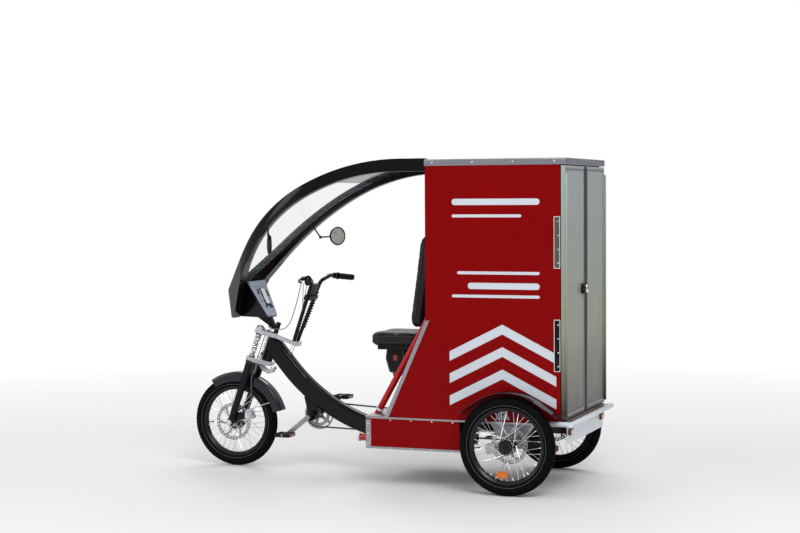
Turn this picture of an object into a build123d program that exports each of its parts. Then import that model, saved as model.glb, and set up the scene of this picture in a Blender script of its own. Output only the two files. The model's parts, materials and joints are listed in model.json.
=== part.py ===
import os
from math import atan2, cos, degrees, radians, sin, tan

from build123d import *

# A three-wheeled cargo bike: one sprung front wheel under a curved canopy, and a tall closed
# cargo box over two rear wheels. All lengths are in millimetres and all angles in degrees.
# X points forward, Y to the rider's left and Z up. While it is built, X = 0 is the rear axle
# and Z = 0 the ground. Each piece is moved at the end, so that the origin lies on the ground
# under the middle of the whole bike.

# Wheels
wheel_d = 530
tyre_w = 62
tyre_h = 58
tread_half_w = 14
bead_half_w = 15.5
rim_h = 21
rim_w = 36
rim_well_w = 18
rim_wall_h = 8
hub_d = 52
hub_w = 64
flange_d = 92
flange_t = 5
spoke_d = 3
spoke_count = 36
spoke_lead = 62
spoke_inset = 5
spoke_cross = 4
wheelbase = 1833
rear_track = 987
front_rotor_d = 220
rear_rotor_d = 200
rotor_t = 2.5
rotor_band = 22
rotor_centre_d = 48
rotor_arm_w = 12
rotor_arm_gap = 16
rotor_spacer_d = 40
rotor_gap = 9
axle_d = 20
front_axle_d = 12
running_gap = 0.3

# Cargo box
box_rear_x = -299
box_front_x = 484
box_half_w = 423
box_base_z = 383
box_top_z = 1755
box_knee_z = 918
box_toe_x = 724
panel_t = 20
floor_chamfer = 3
door_t = 22
door_gap = 5
door_bottom_z = 409
door_centre_gap = 8
cap_h = 36
cap_w = 34
cap_lip = 3
cap_corner = 6
edge_w = 22
edge_t = 3

# Piano hinges at the rear corners
knuckle_d = 12
knuckle_gap = 0.5
knuckle_inset = 1
knuckle_short = 60
knuckle_from = 12
door_leaf_w = 24
door_leaf_t = 2
hinge_leaf_t = 3
hinge_leaf_w = 34
hinge_leaf_h = 275
hinge_leaf_z = (800, 1345)

# Door latch
latch_y = 56
latch_z = 1085
latch_h = 54
latch_w = 88
latch_t = 26
latch_corner = 10
latch_edge = 5

# Frame below the box
base_rail_h = 10
base_rail_w = 40
base_cross_w = 60
skirt_rear_x = 290
skirt_front_x = 835
skirt_bottom_z = 207
skirt_t = 6
skirt_rail_h = 12
skirt_rail_w = 30
beam_gap = 70
deck_t = 4
deck_lip = 6
chassis_rail_w = 40
chassis_rail_h = 60
chassis_half_w = 250
chassis_inset = 8
cross_rail_h = 24
cross_rail_x = (770, 400)

# Main beam, a curved monocoque that ends inside the head tube
beam_depth = 104
beam_w = 70
beam_corner = 20
beam_z = 253
beam_rear_x = 330
beam_low_radius = 500
beam_low_turn = 17
beam_high_radius = 1054
beam_high_turn = 33
beam_join = 92.7
beam_short = 15.2
shell_lug_w = 44
shell_lug_len = 110

# Steering, whose axis leans back by the rake
rake = 19.8
fork_offset = 65
head_d = 64
head_h = 143
spindle_d = 28
spindle_below = 10
spindle_above = 60
crown_rise = 392
crown_t = 26
crown_w = 190
crown_half_depth = 26
crown_neck = 30
crown_neck_half_w = 40
crown_tail_half_w = 34
crown_gap = 2
crown_tail = 163
lower_tail = 40
crown_cap_d = 50
crown_cap_h = 16
crown_cap_corner = 7
leg_half_spacing = 82
stanchion_d = 18
coil_d = 38
coil_wire_d = 6
coil_turns = 10
coil_end_gap = 0.5
leg_d = 48
leg_foot_d = 36
leg_below_axle = 16
stop_arm_w = 34
stop_arm_outline = (
    (-46, 0), (-34, -24), (4, -46), (38, -50), (66, -32), (60, -10), (48, -12), (34, -28), (8, -26),
    (-18, -15), (-18, 0),
)
stop_bolt_spot = (56, -22)
stop_bolt_d = 16
stop_bolt_w = 46

# Handlebar
riser_half_spacing = 60
riser_inset = 26
riser_rise = 372
riser_socket = 24
riser_lean = 21
bar_d = 22
bar_half_w = 330
bar_rise = 30
bar_drop = 20
bar_forward = 20
bar_bends = (20, 40, 40)
grip_run = 165
grip_d = 34
grip_len = 125
grip_flange_d = 42
grip_flange_w = 4
grip_sweep = 70
grip_cap_t = 3
clamp_gap = 0.2
lever_from_grip = 20
lever_ring_d = 34
lever_ring_w = 18
lever_body = ((-28, 14), (16, 14), (16, 38), (-28, 38))
lever_body_w = 18
lever_blade = (
    (-4, 40), (36, 54), (78, 56), (124, 46), (128, 39), (122, 36), (78, 46), (38, 44), (8, 26),
)
lever_blade_t = 9
brace_at = 262
brace_w = 34
brace_h = 24
display_w = 84
display_h = 62
display_t = 18
display_corner = 8

# Mudguards
guard_gap = 20
guard_t = 3
front_guard_w = 78
front_guard_r = 300
front_guard_back = 20
front_guard_drop = 7
front_guard_wall = 55
front_guard_corner = 14
front_guard_from = 56
front_guard_to = 164
guard_post_t = 22
guard_post_w = 40
rear_guard_from = 58
rear_guard_to = 122
rear_guard_outer_y = 526
rear_guard_flare = 150

# Brake calipers, and the hose along the fork
caliper_gap = 1.75
caliper_len = 72
caliper_w = 56
caliper_corner = 10
front_caliper_inset = 2
rear_caliper_out = 6
rear_caliper_len = 58
front_caliper_turn = 158.6
front_caliper_y = (31.5, 62)
rear_caliper_turn = 348
rear_caliper_inner = 16.5
rear_caliper_outer = 11
rear_caliper_arm_t = 12
rear_caliper_arm_z = (244, 272)
rotor_clear = 4
adjuster_d = 30
adjuster_t = 8
caliper_lug_t = 8
hose_d = 5
hose_from = (-28, 28, 0)
hose_first = 42
hose_points = (
    (103, 112, 1222), (96, 93, 1178), (99, 83, 1118), (99, 76, 1055), (98, 70, 993), (89, 56, 938),
    (64, 44, 897), (32, 38, 880), (2, 36, 872), (-27, 34, 859), (-43, 34, 832), (-47, 34, 786),
    (-46, 35, 738), (-47, 34, 690), (-46, 36, 646), (-42, 47, 604), (-38, 53, 558), (-26, 54, 510),
    (-8, 53, 466), (4, 52, 424), (2, 51, 386), (-7, 50, 352),
)
hose_boss_d = 11
hose_boss_len = 12
hose_hole_d = 14
hose_slot = 20
hose_crown_spot = (-38, 34)

# Canopy arches: a side outline with an outer and an inner line, and in plan a path that turns in
# until both arches meet in front of the nose pod
arch_top_z = 1797
arch_depth = 70
arch_w = 56
arch_start = 20
arch_bend_x = (wheelbase - 1203, wheelbase - 1178)
arch_radius = (1280, 1180)
arch_turn = (50, 56)
arch_half_spacing = 395
arch_plan_x = wheelbase - 633
arch_plan_radius = 668
arch_plan_turn = 46
arch_foot_reach = 560
arch_middle_gap = 0.5
arch_chin_run = 30
tint_front_x = wheelbase - 733
glazing_t = 4
glazing_drop = 30
glazing_seam = 1
glazing_side_gap = 0.3
glazing_reach = 200

# Nose pod: four corners of its side outline, its rear half widths at crown and heel, its front one
nose_tip = (wheelbase + 25, 1045)
nose_chin = (wheelbase - 18, 886)
nose_heel = (wheelbase - 240, 886)
nose_crown = (wheelbase - 128, 1100)
nose_rear_half_w = (118, 60)
nose_front_half_w = 25
nose_front_inset = 12
nose_seat_gap = 0.2
bracket_foot = (14, 4, 6)
bracket_top = (4, 90)
console_t = 10
console_half_w = (110, 56)
console_margin = 6
console_corner = 10

# Mirrors, each turned in towards the rider: side, disc, elbow and clamp
mirror_d = 112
mirror_t = 14
mirror_taper = 20
mirror_turn = 33
mirror_stalk_d = 9
mirror_joint_d = 14
mirror_joint_h = 18
mirror_spots = (
    (1, (wheelbase - 381, 320, 1321), (wheelbase - 374, 334, 1378), (wheelbase - 378, 343, 1432)),
    (-1, (wheelbase - 517, -340, 1356), (wheelbase - 407, -330, 1349), (wheelbase - 358, -333, 1415)),
)

# Cranks
crank_x = wheelbase - 503
crank_z = 316
crank_len = 158
crank_angle = -39
crank_t = 14
crank_w = 26
crank_y = 92
shell_d = 54
shell_half_w = 52
ring_d = 140
ring_t = 4
ring_y = -66
ring_band = 18
ring_boss_d = 52
ring_arm_w = 16
ring_arms = 5
ring_guard_d = 182
ring_guard_w = 10
ring_guard_t = 3
ring_guard_gap = 3
pedal_len = 96
pedal_w = 84
pedal_t = 22
pedal_corner = 5
pedal_window = (28, 62)
pedal_axle_d = 12
pedal_gap = 6
pedal_cap = 3

# Chain and rear axle
chain_w = 7
chain_h = 9
chain_seat = 0.6
sprocket_d = 100
sprocket_t = 4
axle_beam = 50
axle_beam_gap = 6
axle_stub = 12
diff_d = 170
diff_w = 110
hanger_t = 8
hanger_y = 392
hanger_foot = 70
hanger_head = 130
gusset_t = 3
gusset_x = (4, 90)
gusset_z = (396, 478)
gusset_hole_d = 14

# Seat
seat_half_w = 190
seat_rear_x = 600
seat_front_x = 930
seat_z = 752
seat_t = 78
seat_fall = 12
seat_corner = 22
seat_frame_h = 24
seat_frame_short = 60
seat_frame_half_w = 150
back_half_w = 205
back_top_z = 1392
back_t = 84
back_low_x = 596
back_high_x = 520
back_gap = 6
back_bracket_z = (960, 1270)
back_bracket_h = 46
back_bracket_w = 240
battery_half_w = 90
battery_outline = ((735, 728), (731, 655), (775, 592), (822, 592), (845, 672), (838, 728))
battery_corner = 16
battery_foot_x = (787, 820)
battery_foot_h = 24
battery_foot_half_w = 22

# Red tubes in front of the box
strut_half_w = 300
strut_d = 36
strut_point = (662, 652)
strut_slope = 60.5
strut_ring_z = 404
lower_tube_d = 40
lower_tube_z = 241
lower_tube_x = (600, 948)
lower_tab_x = (625, 718)
lower_tab_t = 8
lower_tab_w = 50
lower_tube_wall = 4
tube_ring_t = 4
tube_ring_w = 11
tube_ring_gap = 0.2

# Bumper and tail plate
bumper_d = 28
bumper_x = -335
bumper_z = 386
bumper_half_w = 451
bumper_arm_x = -215
plate_half_w = 385
plate_t = 4
plate_z = (272, 373)
lamp_half_w = 336
lamp_rise = 14
lamp_w = 64
lamp_h = 36
lamp_t = 18
lamp_corner = 8

# Worked out from the driving dimensions
wheel_r = wheel_d / 2
rim_r = wheel_r - tyre_h
rim_inner_r = rim_r - rim_h
front_axle = Vector(wheelbase, 0, wheel_r)
box_door_x = box_rear_x + door_t + door_gap
floor_top_z = box_base_z + panel_t
skirt_top_z = box_base_z - base_rail_h
steer_up = Vector(-sin(radians(rake)), 0, cos(radians(rake)))
steer_back = Vector(-cos(radians(rake)), 0, -sin(radians(rake)))
steer_ground = Vector(wheelbase + wheel_r * tan(radians(rake)) - fork_offset / cos(radians(rake)), 0, 0)
overall_front_x = wheelbase + wheel_r
overall_rear_x = bumper_x - bumper_d / 2
to_middle = Location((-(overall_front_x + overall_rear_x) / 2, 0, 0))

pieces = {}


def side_plane(y):
    """Plane facing -Y whose local axes are X and Z, so that extruding goes towards -Y."""
    return Plane.XZ.offset(-y)


def on_axis(height, back=0, across=0):
    """Point at this distance up the steering axis from the ground, then back and to the left."""
    return steer_ground + steer_up * height + steer_back * back + Vector(0, across, 0)


# Steering stations, along the steering axis from the ground
axle_height = (front_axle - steer_ground).dot(steer_up)
lower_crown_at = axle_height + crown_rise
head_from = lower_crown_at + crown_t + crown_gap
upper_crown_at = head_from + head_h + crown_gap
spindle_from = lower_crown_at - spindle_below
spindle_to = upper_crown_at + crown_t + spindle_above


def crown_plane(height):
    """Plane square to the steering axis, with its local X pointing back and its local Y to -Y."""
    return Plane(origin=on_axis(height), x_dir=steer_back, z_dir=steer_up)


# Main beam: a rounded box section swept along a line and two arcs, with the head tube and the
# bottom bracket shell
beam_tip = on_axis(head_from + beam_join, beam_short)
low_turn, full_turn = radians(beam_low_turn), radians(beam_low_turn + beam_high_turn)
beam_arc_x = beam_low_radius * sin(low_turn) + beam_high_radius * (sin(full_turn) - sin(low_turn))
beam_arc_z = beam_low_radius * (1 - cos(low_turn)) + beam_high_radius * (cos(low_turn) - cos(full_turn))
beam_end = (beam_tip.Z - beam_z - beam_arc_z) / sin(full_turn)
beam_bend_x = beam_tip.X - beam_arc_x - beam_end * cos(full_turn)
with BuildPart() as main_beam:
    with BuildLine(Plane.XZ) as beam_path:
        low = Line((beam_rear_x, beam_z), (beam_bend_x, beam_z))
        bend = JernArc(low @ 1, low % 1, beam_low_radius, beam_low_turn)
        rise = JernArc(bend @ 1, bend % 1, beam_high_radius, beam_high_turn)
        Line(rise @ 1, (rise @ 1) + (rise % 1) * beam_end)
    with BuildSketch(Plane(origin=(beam_rear_x, 0, beam_z), x_dir=(0, 1, 0), z_dir=(1, 0, 0))):
        RectangleRounded(beam_w, beam_depth, beam_corner)
    sweep()
    with BuildSketch(crown_plane(head_from)):
        Circle(head_d / 2)
    extrude(amount=head_h)
    with BuildSketch(side_plane(shell_lug_w / 2)):
        with BuildLine():
            Polyline(
                (crank_x - shell_d / 2, crank_z), (crank_x + shell_d / 2, crank_z),
                (crank_x + shell_d, crank_z + shell_lug_len), (crank_x - shell_d, crank_z + shell_lug_len),
                close=True,
            )
        make_face()
    extrude(amount=shell_lug_w)
    with BuildSketch(side_plane(shell_half_w)):
        with Locations((crank_x, crank_z)):
            Circle(shell_d / 2)
    extrude(amount=2 * shell_half_w)
    with BuildSketch(crown_plane(head_from)):
        Circle(spindle_d / 2)
    extrude(amount=head_h, mode=Mode.SUBTRACT)
    with BuildSketch(side_plane(shell_half_w)):
        with Locations((crank_x, crank_z)):
            Circle(axle_d / 2 + running_gap)
    extrude(amount=2 * shell_half_w, mode=Mode.SUBTRACT)
pieces["main_beam"] = main_beam

# Fixed spindle through the head tube and both crowns, with the bracket that holds the nose
with BuildPart() as head_spindle:
    with BuildSketch(crown_plane(spindle_from)):
        Circle(spindle_d / 2)
    extrude(amount=spindle_to - spindle_from)
    nose_seat_z = nose_heel[1] - nose_seat_gap
    with BuildSketch(side_plane(spindle_d / 2)):
        with BuildLine():
            foot_rise, foot_rear, foot_front = bracket_foot
            foot = on_axis(upper_crown_at + crown_t + foot_rise)
            Polyline(
                (foot.X - foot_rear, foot.Z), (foot.X + foot_front, foot.Z),
                (nose_heel[0] + bracket_top[1], nose_seat_z), (nose_heel[0] + bracket_top[0], nose_seat_z),
                close=True,
            )
        make_face()
    extrude(amount=spindle_d)
    split(bisect_by=Plane(origin=(0, 0, nose_seat_z), z_dir=(0, 0, 1)), keep=Keep.BOTTOM)
pieces["head_spindle"] = head_spindle

# Chassis: two long rails and the cross rails that sit on the main beam
chassis_front_x = skirt_front_x - chassis_inset
chassis_rear_x = box_rear_x + chassis_inset
with BuildPart() as chassis_rails:
    for side in (-1, 1):
        with BuildSketch(Plane.XY.offset(skirt_top_z - chassis_rail_h)):
            with Locations(((chassis_rear_x + chassis_front_x) / 2, side * chassis_half_w)):
                Rectangle(chassis_front_x - chassis_rear_x, chassis_rail_w)
        extrude(amount=chassis_rail_h)
    for x in cross_rail_x:
        with BuildSketch(Plane.XY.offset(beam_z + beam_depth / 2)):
            with Locations((x, 0)):
                Rectangle(chassis_rail_w, 2 * chassis_half_w + chassis_rail_w)
        extrude(amount=cross_rail_h)
pieces["chassis_rails"] = chassis_rails

# Aluminium base frame that the box stands on
with BuildPart() as base_frame:
    with BuildSketch(Plane.XY.offset(skirt_top_z)):
        with Locations(((box_rear_x + skirt_front_x) / 2, 0)):
            Rectangle(skirt_front_x - box_rear_x, 2 * box_half_w)
        for x_from, x_to in ((box_rear_x, skirt_rear_x), (skirt_rear_x, skirt_front_x)):
            with Locations(((x_from + x_to) / 2, 0)):
                Rectangle(
                    x_to - x_from - base_cross_w, 2 * box_half_w - 2 * base_rail_w, mode=Mode.SUBTRACT
                )
    extrude(amount=base_rail_h)
pieces["base_frame"] = base_frame

# Floor of the box, with its front end cut to the slanted wall
slant_angle = degrees(atan2(box_toe_x - box_front_x, box_knee_z - box_base_z))
slant_inset = panel_t / cos(radians(slant_angle))


def slant_x(z):
    """X of the box's slanted front face at this height."""
    return box_toe_x + (box_front_x - box_toe_x) * (z - box_base_z) / (box_knee_z - box_base_z)


with BuildPart() as cargo_floor:
    with BuildSketch(side_plane(box_half_w - panel_t)):
        with BuildLine():
            chamfer_z = floor_top_z - floor_chamfer
            Polyline(
                (box_rear_x, box_base_z), (slant_x(box_base_z) - slant_inset, box_base_z),
                (slant_x(chamfer_z) - slant_inset, chamfer_z),
                (slant_x(floor_top_z) - slant_inset - floor_chamfer, floor_top_z), (box_rear_x, floor_top_z),
                close=True,
            )
        make_face()
    extrude(amount=2 * (box_half_w - panel_t))
pieces["cargo_floor"] = cargo_floor

# Front wall: upright above the knee, slanted forward below it
with BuildPart() as front_wall:
    with BuildSketch(side_plane(box_half_w - panel_t)):
        with BuildLine():
            Polyline(
                (box_front_x, box_top_z), (box_front_x, box_knee_z), (box_toe_x, box_base_z),
                (box_toe_x - slant_inset, box_base_z),
                (box_front_x - panel_t, box_knee_z - (panel_t - slant_inset) / tan(radians(slant_angle))),
                (box_front_x - panel_t, box_top_z), close=True,
            )
        make_face()
    extrude(amount=2 * (box_half_w - panel_t))
pieces["front_wall"] = front_wall

# Side panels
for name, outer_y in (("side_panel_left", box_half_w), ("side_panel_right", -box_half_w + panel_t)):
    with BuildPart() as side_panel:
        with BuildSketch(side_plane(outer_y)):
            with BuildLine():
                Polyline(
                    (box_door_x, box_base_z), (box_toe_x, box_base_z), (box_front_x, box_knee_z),
                    (box_front_x, box_top_z), (box_door_x, box_top_z), close=True,
                )
            make_face()
        extrude(amount=panel_t)
    pieces[name] = side_panel

# Roof and the aluminium cap round its edge
with BuildPart() as cargo_roof:
    with BuildSketch(Plane.XY.offset(box_top_z)):
        with Locations(((box_rear_x + box_front_x) / 2, 0)):
            Rectangle(box_front_x - box_rear_x - 2 * cap_w, 2 * (box_half_w - cap_w))
    extrude(amount=panel_t)
pieces["cargo_roof"] = cargo_roof

with BuildPart() as roof_cap:
    with BuildSketch(Plane.XY.offset(box_top_z)):
        with Locations(((box_rear_x + box_front_x) / 2, 0)):
            Rectangle(box_front_x - box_rear_x + 2 * cap_lip, 2 * (box_half_w + cap_lip))
            Rectangle(box_front_x - box_rear_x - 2 * cap_w, 2 * (box_half_w - cap_w), mode=Mode.SUBTRACT)
    extrude(amount=cap_h)
    fillet(roof_cap.faces().sort_by(Axis.Z)[-1].outer_wire().edges(), cap_corner)
pieces["roof_cap"] = roof_cap

# Angle profiles along the two slanted front edges
with BuildPart() as edge_trims:
    for side in (-1, 1):
        with BuildSketch(side_plane(side * (box_half_w + edge_t / 2) + edge_t / 2)):
            with BuildLine():
                Polyline(
                    (box_toe_x, box_base_z), (box_front_x, box_knee_z),
                    (box_front_x - edge_w / cos(radians(slant_angle)), box_knee_z),
                    (box_toe_x - edge_w / cos(radians(slant_angle)), box_base_z), close=True,
                )
            make_face()
        extrude(amount=edge_t)
pieces["edge_trims"] = edge_trims

# Doors with their hinge knuckles, latch and the hinge leaves
for name, side in (("left", 1), ("right", -1)):
    hinge_y = side * (box_half_w - knuckle_inset)
    hinge_x = box_rear_x - knuckle_d / 2 - knuckle_gap
    with BuildPart() as door:
        with BuildSketch(Plane.XY.offset(door_bottom_z)):
            with Locations((box_rear_x + door_t / 2, side * (box_half_w + door_centre_gap / 2) / 2)):
                Rectangle(door_t, box_half_w - door_centre_gap / 2)
        extrude(amount=box_top_z - door_bottom_z - door_gap)
        with BuildSketch(Plane.XY.offset(door_bottom_z + knuckle_from)):
            with Locations((hinge_x, hinge_y)):
                Circle(knuckle_d / 2)
            with Locations((box_rear_x - door_leaf_t / 2, hinge_y - side * (knuckle_d + door_leaf_t))):
                Rectangle(door_leaf_t, door_leaf_w)
        extrude(amount=box_top_z - door_bottom_z - knuckle_short)
    pieces[f"door_{name}"] = door

with BuildPart() as door_latch:
    with BuildSketch(Plane.YZ.offset(box_rear_x)):
        with Locations((latch_y, latch_z)):
            RectangleRounded(latch_w, latch_h, latch_corner)
    extrude(amount=-latch_t)
    fillet(door_latch.faces().sort_by(Axis.X)[0].edges(), latch_edge)
pieces["door_latch"] = door_latch

# Hinge leaves on the side panels
with BuildPart() as hinge_leaves:
    for side in (-1, 1):
        for z in hinge_leaf_z:
            with BuildSketch(side_plane(side * (box_half_w + hinge_leaf_t / 2) + hinge_leaf_t / 2)):
                with Locations((box_door_x + hinge_leaf_w / 2, z)):
                    Rectangle(hinge_leaf_w, hinge_leaf_h)
            extrude(amount=hinge_leaf_t)
pieces["hinge_leaves"] = hinge_leaves

# Skirts round the frame in front of the wheels, with a bottom rail and two uprights
skirt_panel_z = skirt_bottom_z + skirt_rail_h
with BuildPart() as skirts:
    for outer_y in (box_half_w, -box_half_w + skirt_t):
        with BuildSketch(side_plane(outer_y)):
            with Locations(((skirt_rear_x + skirt_front_x) / 2, (skirt_panel_z + skirt_top_z) / 2)):
                Rectangle(skirt_front_x - skirt_rear_x, skirt_top_z - skirt_panel_z)
        extrude(amount=skirt_t)
pieces["skirts"] = skirts

with BuildPart() as skirt_rails:
    with BuildSketch(Plane.XY.offset(skirt_bottom_z)):
        with Locations(((skirt_rear_x + skirt_front_x) / 2, 0)):
            Rectangle(skirt_front_x - skirt_rear_x, 2 * box_half_w)
            Rectangle(
                skirt_front_x - skirt_rear_x - 2 * skirt_rail_w, 2 * box_half_w - 2 * skirt_rail_w,
                mode=Mode.SUBTRACT,
            )
        with Locations((skirt_front_x, 0), (skirt_rear_x, 0)):
            Rectangle(3 * skirt_rail_w, beam_w + 2 * beam_gap, mode=Mode.SUBTRACT)
    extrude(amount=skirt_rail_h)
    post_y = box_half_w - skirt_t - skirt_rail_w / 2
    with BuildSketch(Plane.XY.offset(skirt_panel_z)):
        with Locations(*[(skirt_front_x - skirt_rail_w / 2, side * post_y) for side in (-1, 1)]):
            Rectangle(skirt_rail_w, skirt_rail_w)
    extrude(amount=skirt_top_z - skirt_panel_z)
pieces["skirt_rails"] = skirt_rails

with BuildPart() as deck_plate:
    with BuildSketch(Plane.XY.offset(box_base_z)):
        with Locations(((box_toe_x + skirt_front_x + deck_lip) / 2, 0)):
            Rectangle(skirt_front_x + deck_lip - box_toe_x, 2 * box_half_w)
    extrude(amount=deck_t)
pieces["deck_plate"] = deck_plate

# Rear axle: a beam with stub axles, a differential housing and its sprocket
beam_end_y = rear_track / 2 - hub_w / 2 - rotor_gap - rotor_t - axle_beam_gap
stub_end_y = rear_track / 2 + hub_w / 2 + axle_stub
with BuildPart() as rear_axle:
    with BuildSketch(side_plane(beam_end_y)):
        with Locations((0, wheel_r)):
            Rectangle(axle_beam, axle_beam)
    extrude(amount=2 * beam_end_y)
    for outer_y, width, diameter in (
        (stub_end_y, 2 * stub_end_y, axle_d),
        (diff_w / 2, diff_w, diff_d),
        (ring_y + sprocket_t / 2, sprocket_t, sprocket_d),
    ):
        with BuildSketch(side_plane(outer_y)):
            with Locations((0, wheel_r)):
                Circle(diameter / 2)
        extrude(amount=width)
pieces["rear_axle"] = rear_axle

# Hanger plates between the axle and the chassis, and a gusset below each mudguard
with BuildPart() as axle_hangers:
    for side in (-1, 1):
        with BuildSketch(side_plane(side * hanger_y + hanger_t / 2)):
            with BuildLine():
                Polyline(
                    (-hanger_foot, wheel_r + axle_beam / 2), (hanger_foot, wheel_r + axle_beam / 2),
                    (hanger_head, skirt_top_z), (-hanger_head, skirt_top_z), close=True,
                )
            make_face()
        extrude(amount=hanger_t)
        with BuildSketch(side_plane(side * (box_half_w + gusset_t / 2) + gusset_t / 2)):
            with BuildLine():
                Polyline(
                    (gusset_x[0], gusset_z[0]), (gusset_x[1], gusset_z[0]), (sum(gusset_x) / 2, gusset_z[1]),
                    close=True,
                )
            make_face()
            with Locations((sum(gusset_x) / 2, gusset_z[0] + 2 * gusset_hole_d)):
                Circle(gusset_hole_d / 2, mode=Mode.SUBTRACT)
        extrude(amount=gusset_t)
pieces["axle_hangers"] = axle_hangers

# Mudguards over the rear wheels: an arc with straight flared ends
guard_r = wheel_r + guard_gap
guard_turn = rear_guard_to - rear_guard_from
with BuildPart() as rear_mudguards:
    for outer_y in (rear_guard_outer_y, -box_half_w):
        with BuildSketch(side_plane(outer_y)):
            with BuildLine():
                top_arc = CenterArc((0, wheel_r), guard_r + guard_t, rear_guard_from, guard_turn)
                low_arc = CenterArc((0, wheel_r), guard_r, rear_guard_from, guard_turn)
                tips = {}
                for arc_name, arc in (("top", top_arc), ("low", low_arc)):
                    for end, angle, sign in ((0, rear_guard_from, 1), (1, rear_guard_to, -1)):
                        along = Vector(sin(radians(angle)), -cos(radians(angle))) * sign
                        tips[arc_name, end] = (arc @ end) + along * rear_guard_flare
                        Line(arc @ end, tips[arc_name, end])
                Line(tips["top", 0], tips["low", 0])
                Line(tips["top", 1], tips["low", 1])
            make_face()
        extrude(amount=rear_guard_outer_y - box_half_w)
pieces["rear_mudguards"] = rear_mudguards

# Bumper tube with its two arms, and the tail plate below it
with BuildPart() as bumper:
    with BuildSketch(side_plane(bumper_half_w)):
        with Locations((bumper_x, bumper_z)):
            Circle(bumper_d / 2)
    extrude(amount=2 * bumper_half_w)
    for side in (-1, 1):
        with BuildSketch(Plane.YZ.offset(bumper_x)):
            with Locations((side * (bumper_half_w - bumper_d / 2), bumper_z)):
                Circle(bumper_d / 2)
        extrude(amount=bumper_arm_x - bumper_x)
pieces["bumper"] = bumper

with BuildPart() as tail_plate:
    with BuildSketch(Plane.YZ.offset(box_rear_x)):
        with Locations((0, sum(plate_z) / 2)):
            Rectangle(2 * plate_half_w, plate_z[1] - plate_z[0])
    extrude(amount=plate_t)
pieces["tail_plate"] = tail_plate

with BuildPart() as tail_lamps:
    for side in (-1, 1):
        with BuildSketch(Plane.YZ.offset(box_rear_x)):
            with Locations((side * lamp_half_w, sum(plate_z) / 2 + lamp_rise)):
                RectangleRounded(lamp_w, lamp_h, lamp_corner)
        extrude(amount=-lamp_t)
pieces["tail_lamps"] = tail_lamps

# Seat cushion, backrest, their frame and brackets, and the battery below the seat
with BuildPart() as seat_cushion:
    with BuildSketch(side_plane(seat_half_w)):
        with BuildLine():
            Polyline(
                (seat_rear_x, seat_z), (seat_front_x, seat_z),
                (seat_front_x, seat_z + seat_t), (seat_rear_x, seat_z + seat_t - seat_fall), close=True,
            )
        make_face()
    extrude(amount=2 * seat_half_w)
    fillet(seat_cushion.edges().filter_by(Axis.Y), seat_corner)
pieces["seat_cushion"] = seat_cushion

back_low_z = seat_z + seat_t + back_gap


def back_x(z):
    """X of the backrest's rear face at this height."""
    return back_low_x + (back_high_x - back_low_x) * (z - back_low_z) / (back_top_z - back_low_z)


with BuildPart() as backrest:
    with BuildSketch(side_plane(back_half_w)):
        with BuildLine():
            Polyline(
                (back_low_x, back_low_z), (back_low_x + back_t, back_low_z),
                (back_high_x + back_t, back_top_z), (back_high_x, back_top_z), close=True,
            )
        make_face()
    extrude(amount=2 * back_half_w)
    fillet(backrest.edges().filter_by(Axis.Y), seat_corner)
pieces["backrest"] = backrest

with BuildPart() as back_brackets:
    for z in back_bracket_z:
        with BuildSketch(side_plane(back_bracket_w / 2)):
            with BuildLine():
                Polyline(
                    (box_front_x, z), (back_x(z), z), (back_x(z + back_bracket_h), z + back_bracket_h),
                    (box_front_x, z + back_bracket_h), close=True,
                )
            make_face()
        extrude(amount=back_bracket_w)
pieces["back_brackets"] = back_brackets

seat_frame_z = seat_z - seat_frame_h
with BuildPart() as seat_frame:
    with BuildSketch(side_plane(seat_frame_half_w)):
        with BuildLine():
            Polyline(
                (slant_x(seat_frame_z), seat_frame_z), (seat_front_x - seat_frame_short, seat_frame_z),
                (seat_front_x - seat_frame_short, seat_z), (slant_x(seat_z), seat_z), close=True,
            )
        make_face()
    extrude(amount=2 * seat_frame_half_w)
pieces["seat_frame"] = seat_frame

with BuildPart() as battery_unit:
    with BuildSketch(side_plane(battery_half_w)) as battery_side:
        with BuildLine():
            Polyline(*battery_outline, close=True)
        make_face()
        fillet(battery_side.vertices(), battery_corner)
    extrude(amount=2 * battery_half_w)
    foot_low_x, foot_high_x = battery_foot_x
    with BuildSketch(Plane.XY.offset(battery_outline[2][1])):
        with Locations(((foot_low_x + foot_high_x) / 2, 0)):
            RectangleRounded(foot_high_x - foot_low_x, 2 * battery_foot_half_w, battery_corner / 2)
    extrude(amount=-battery_foot_h)
pieces["battery_unit"] = battery_unit

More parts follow.
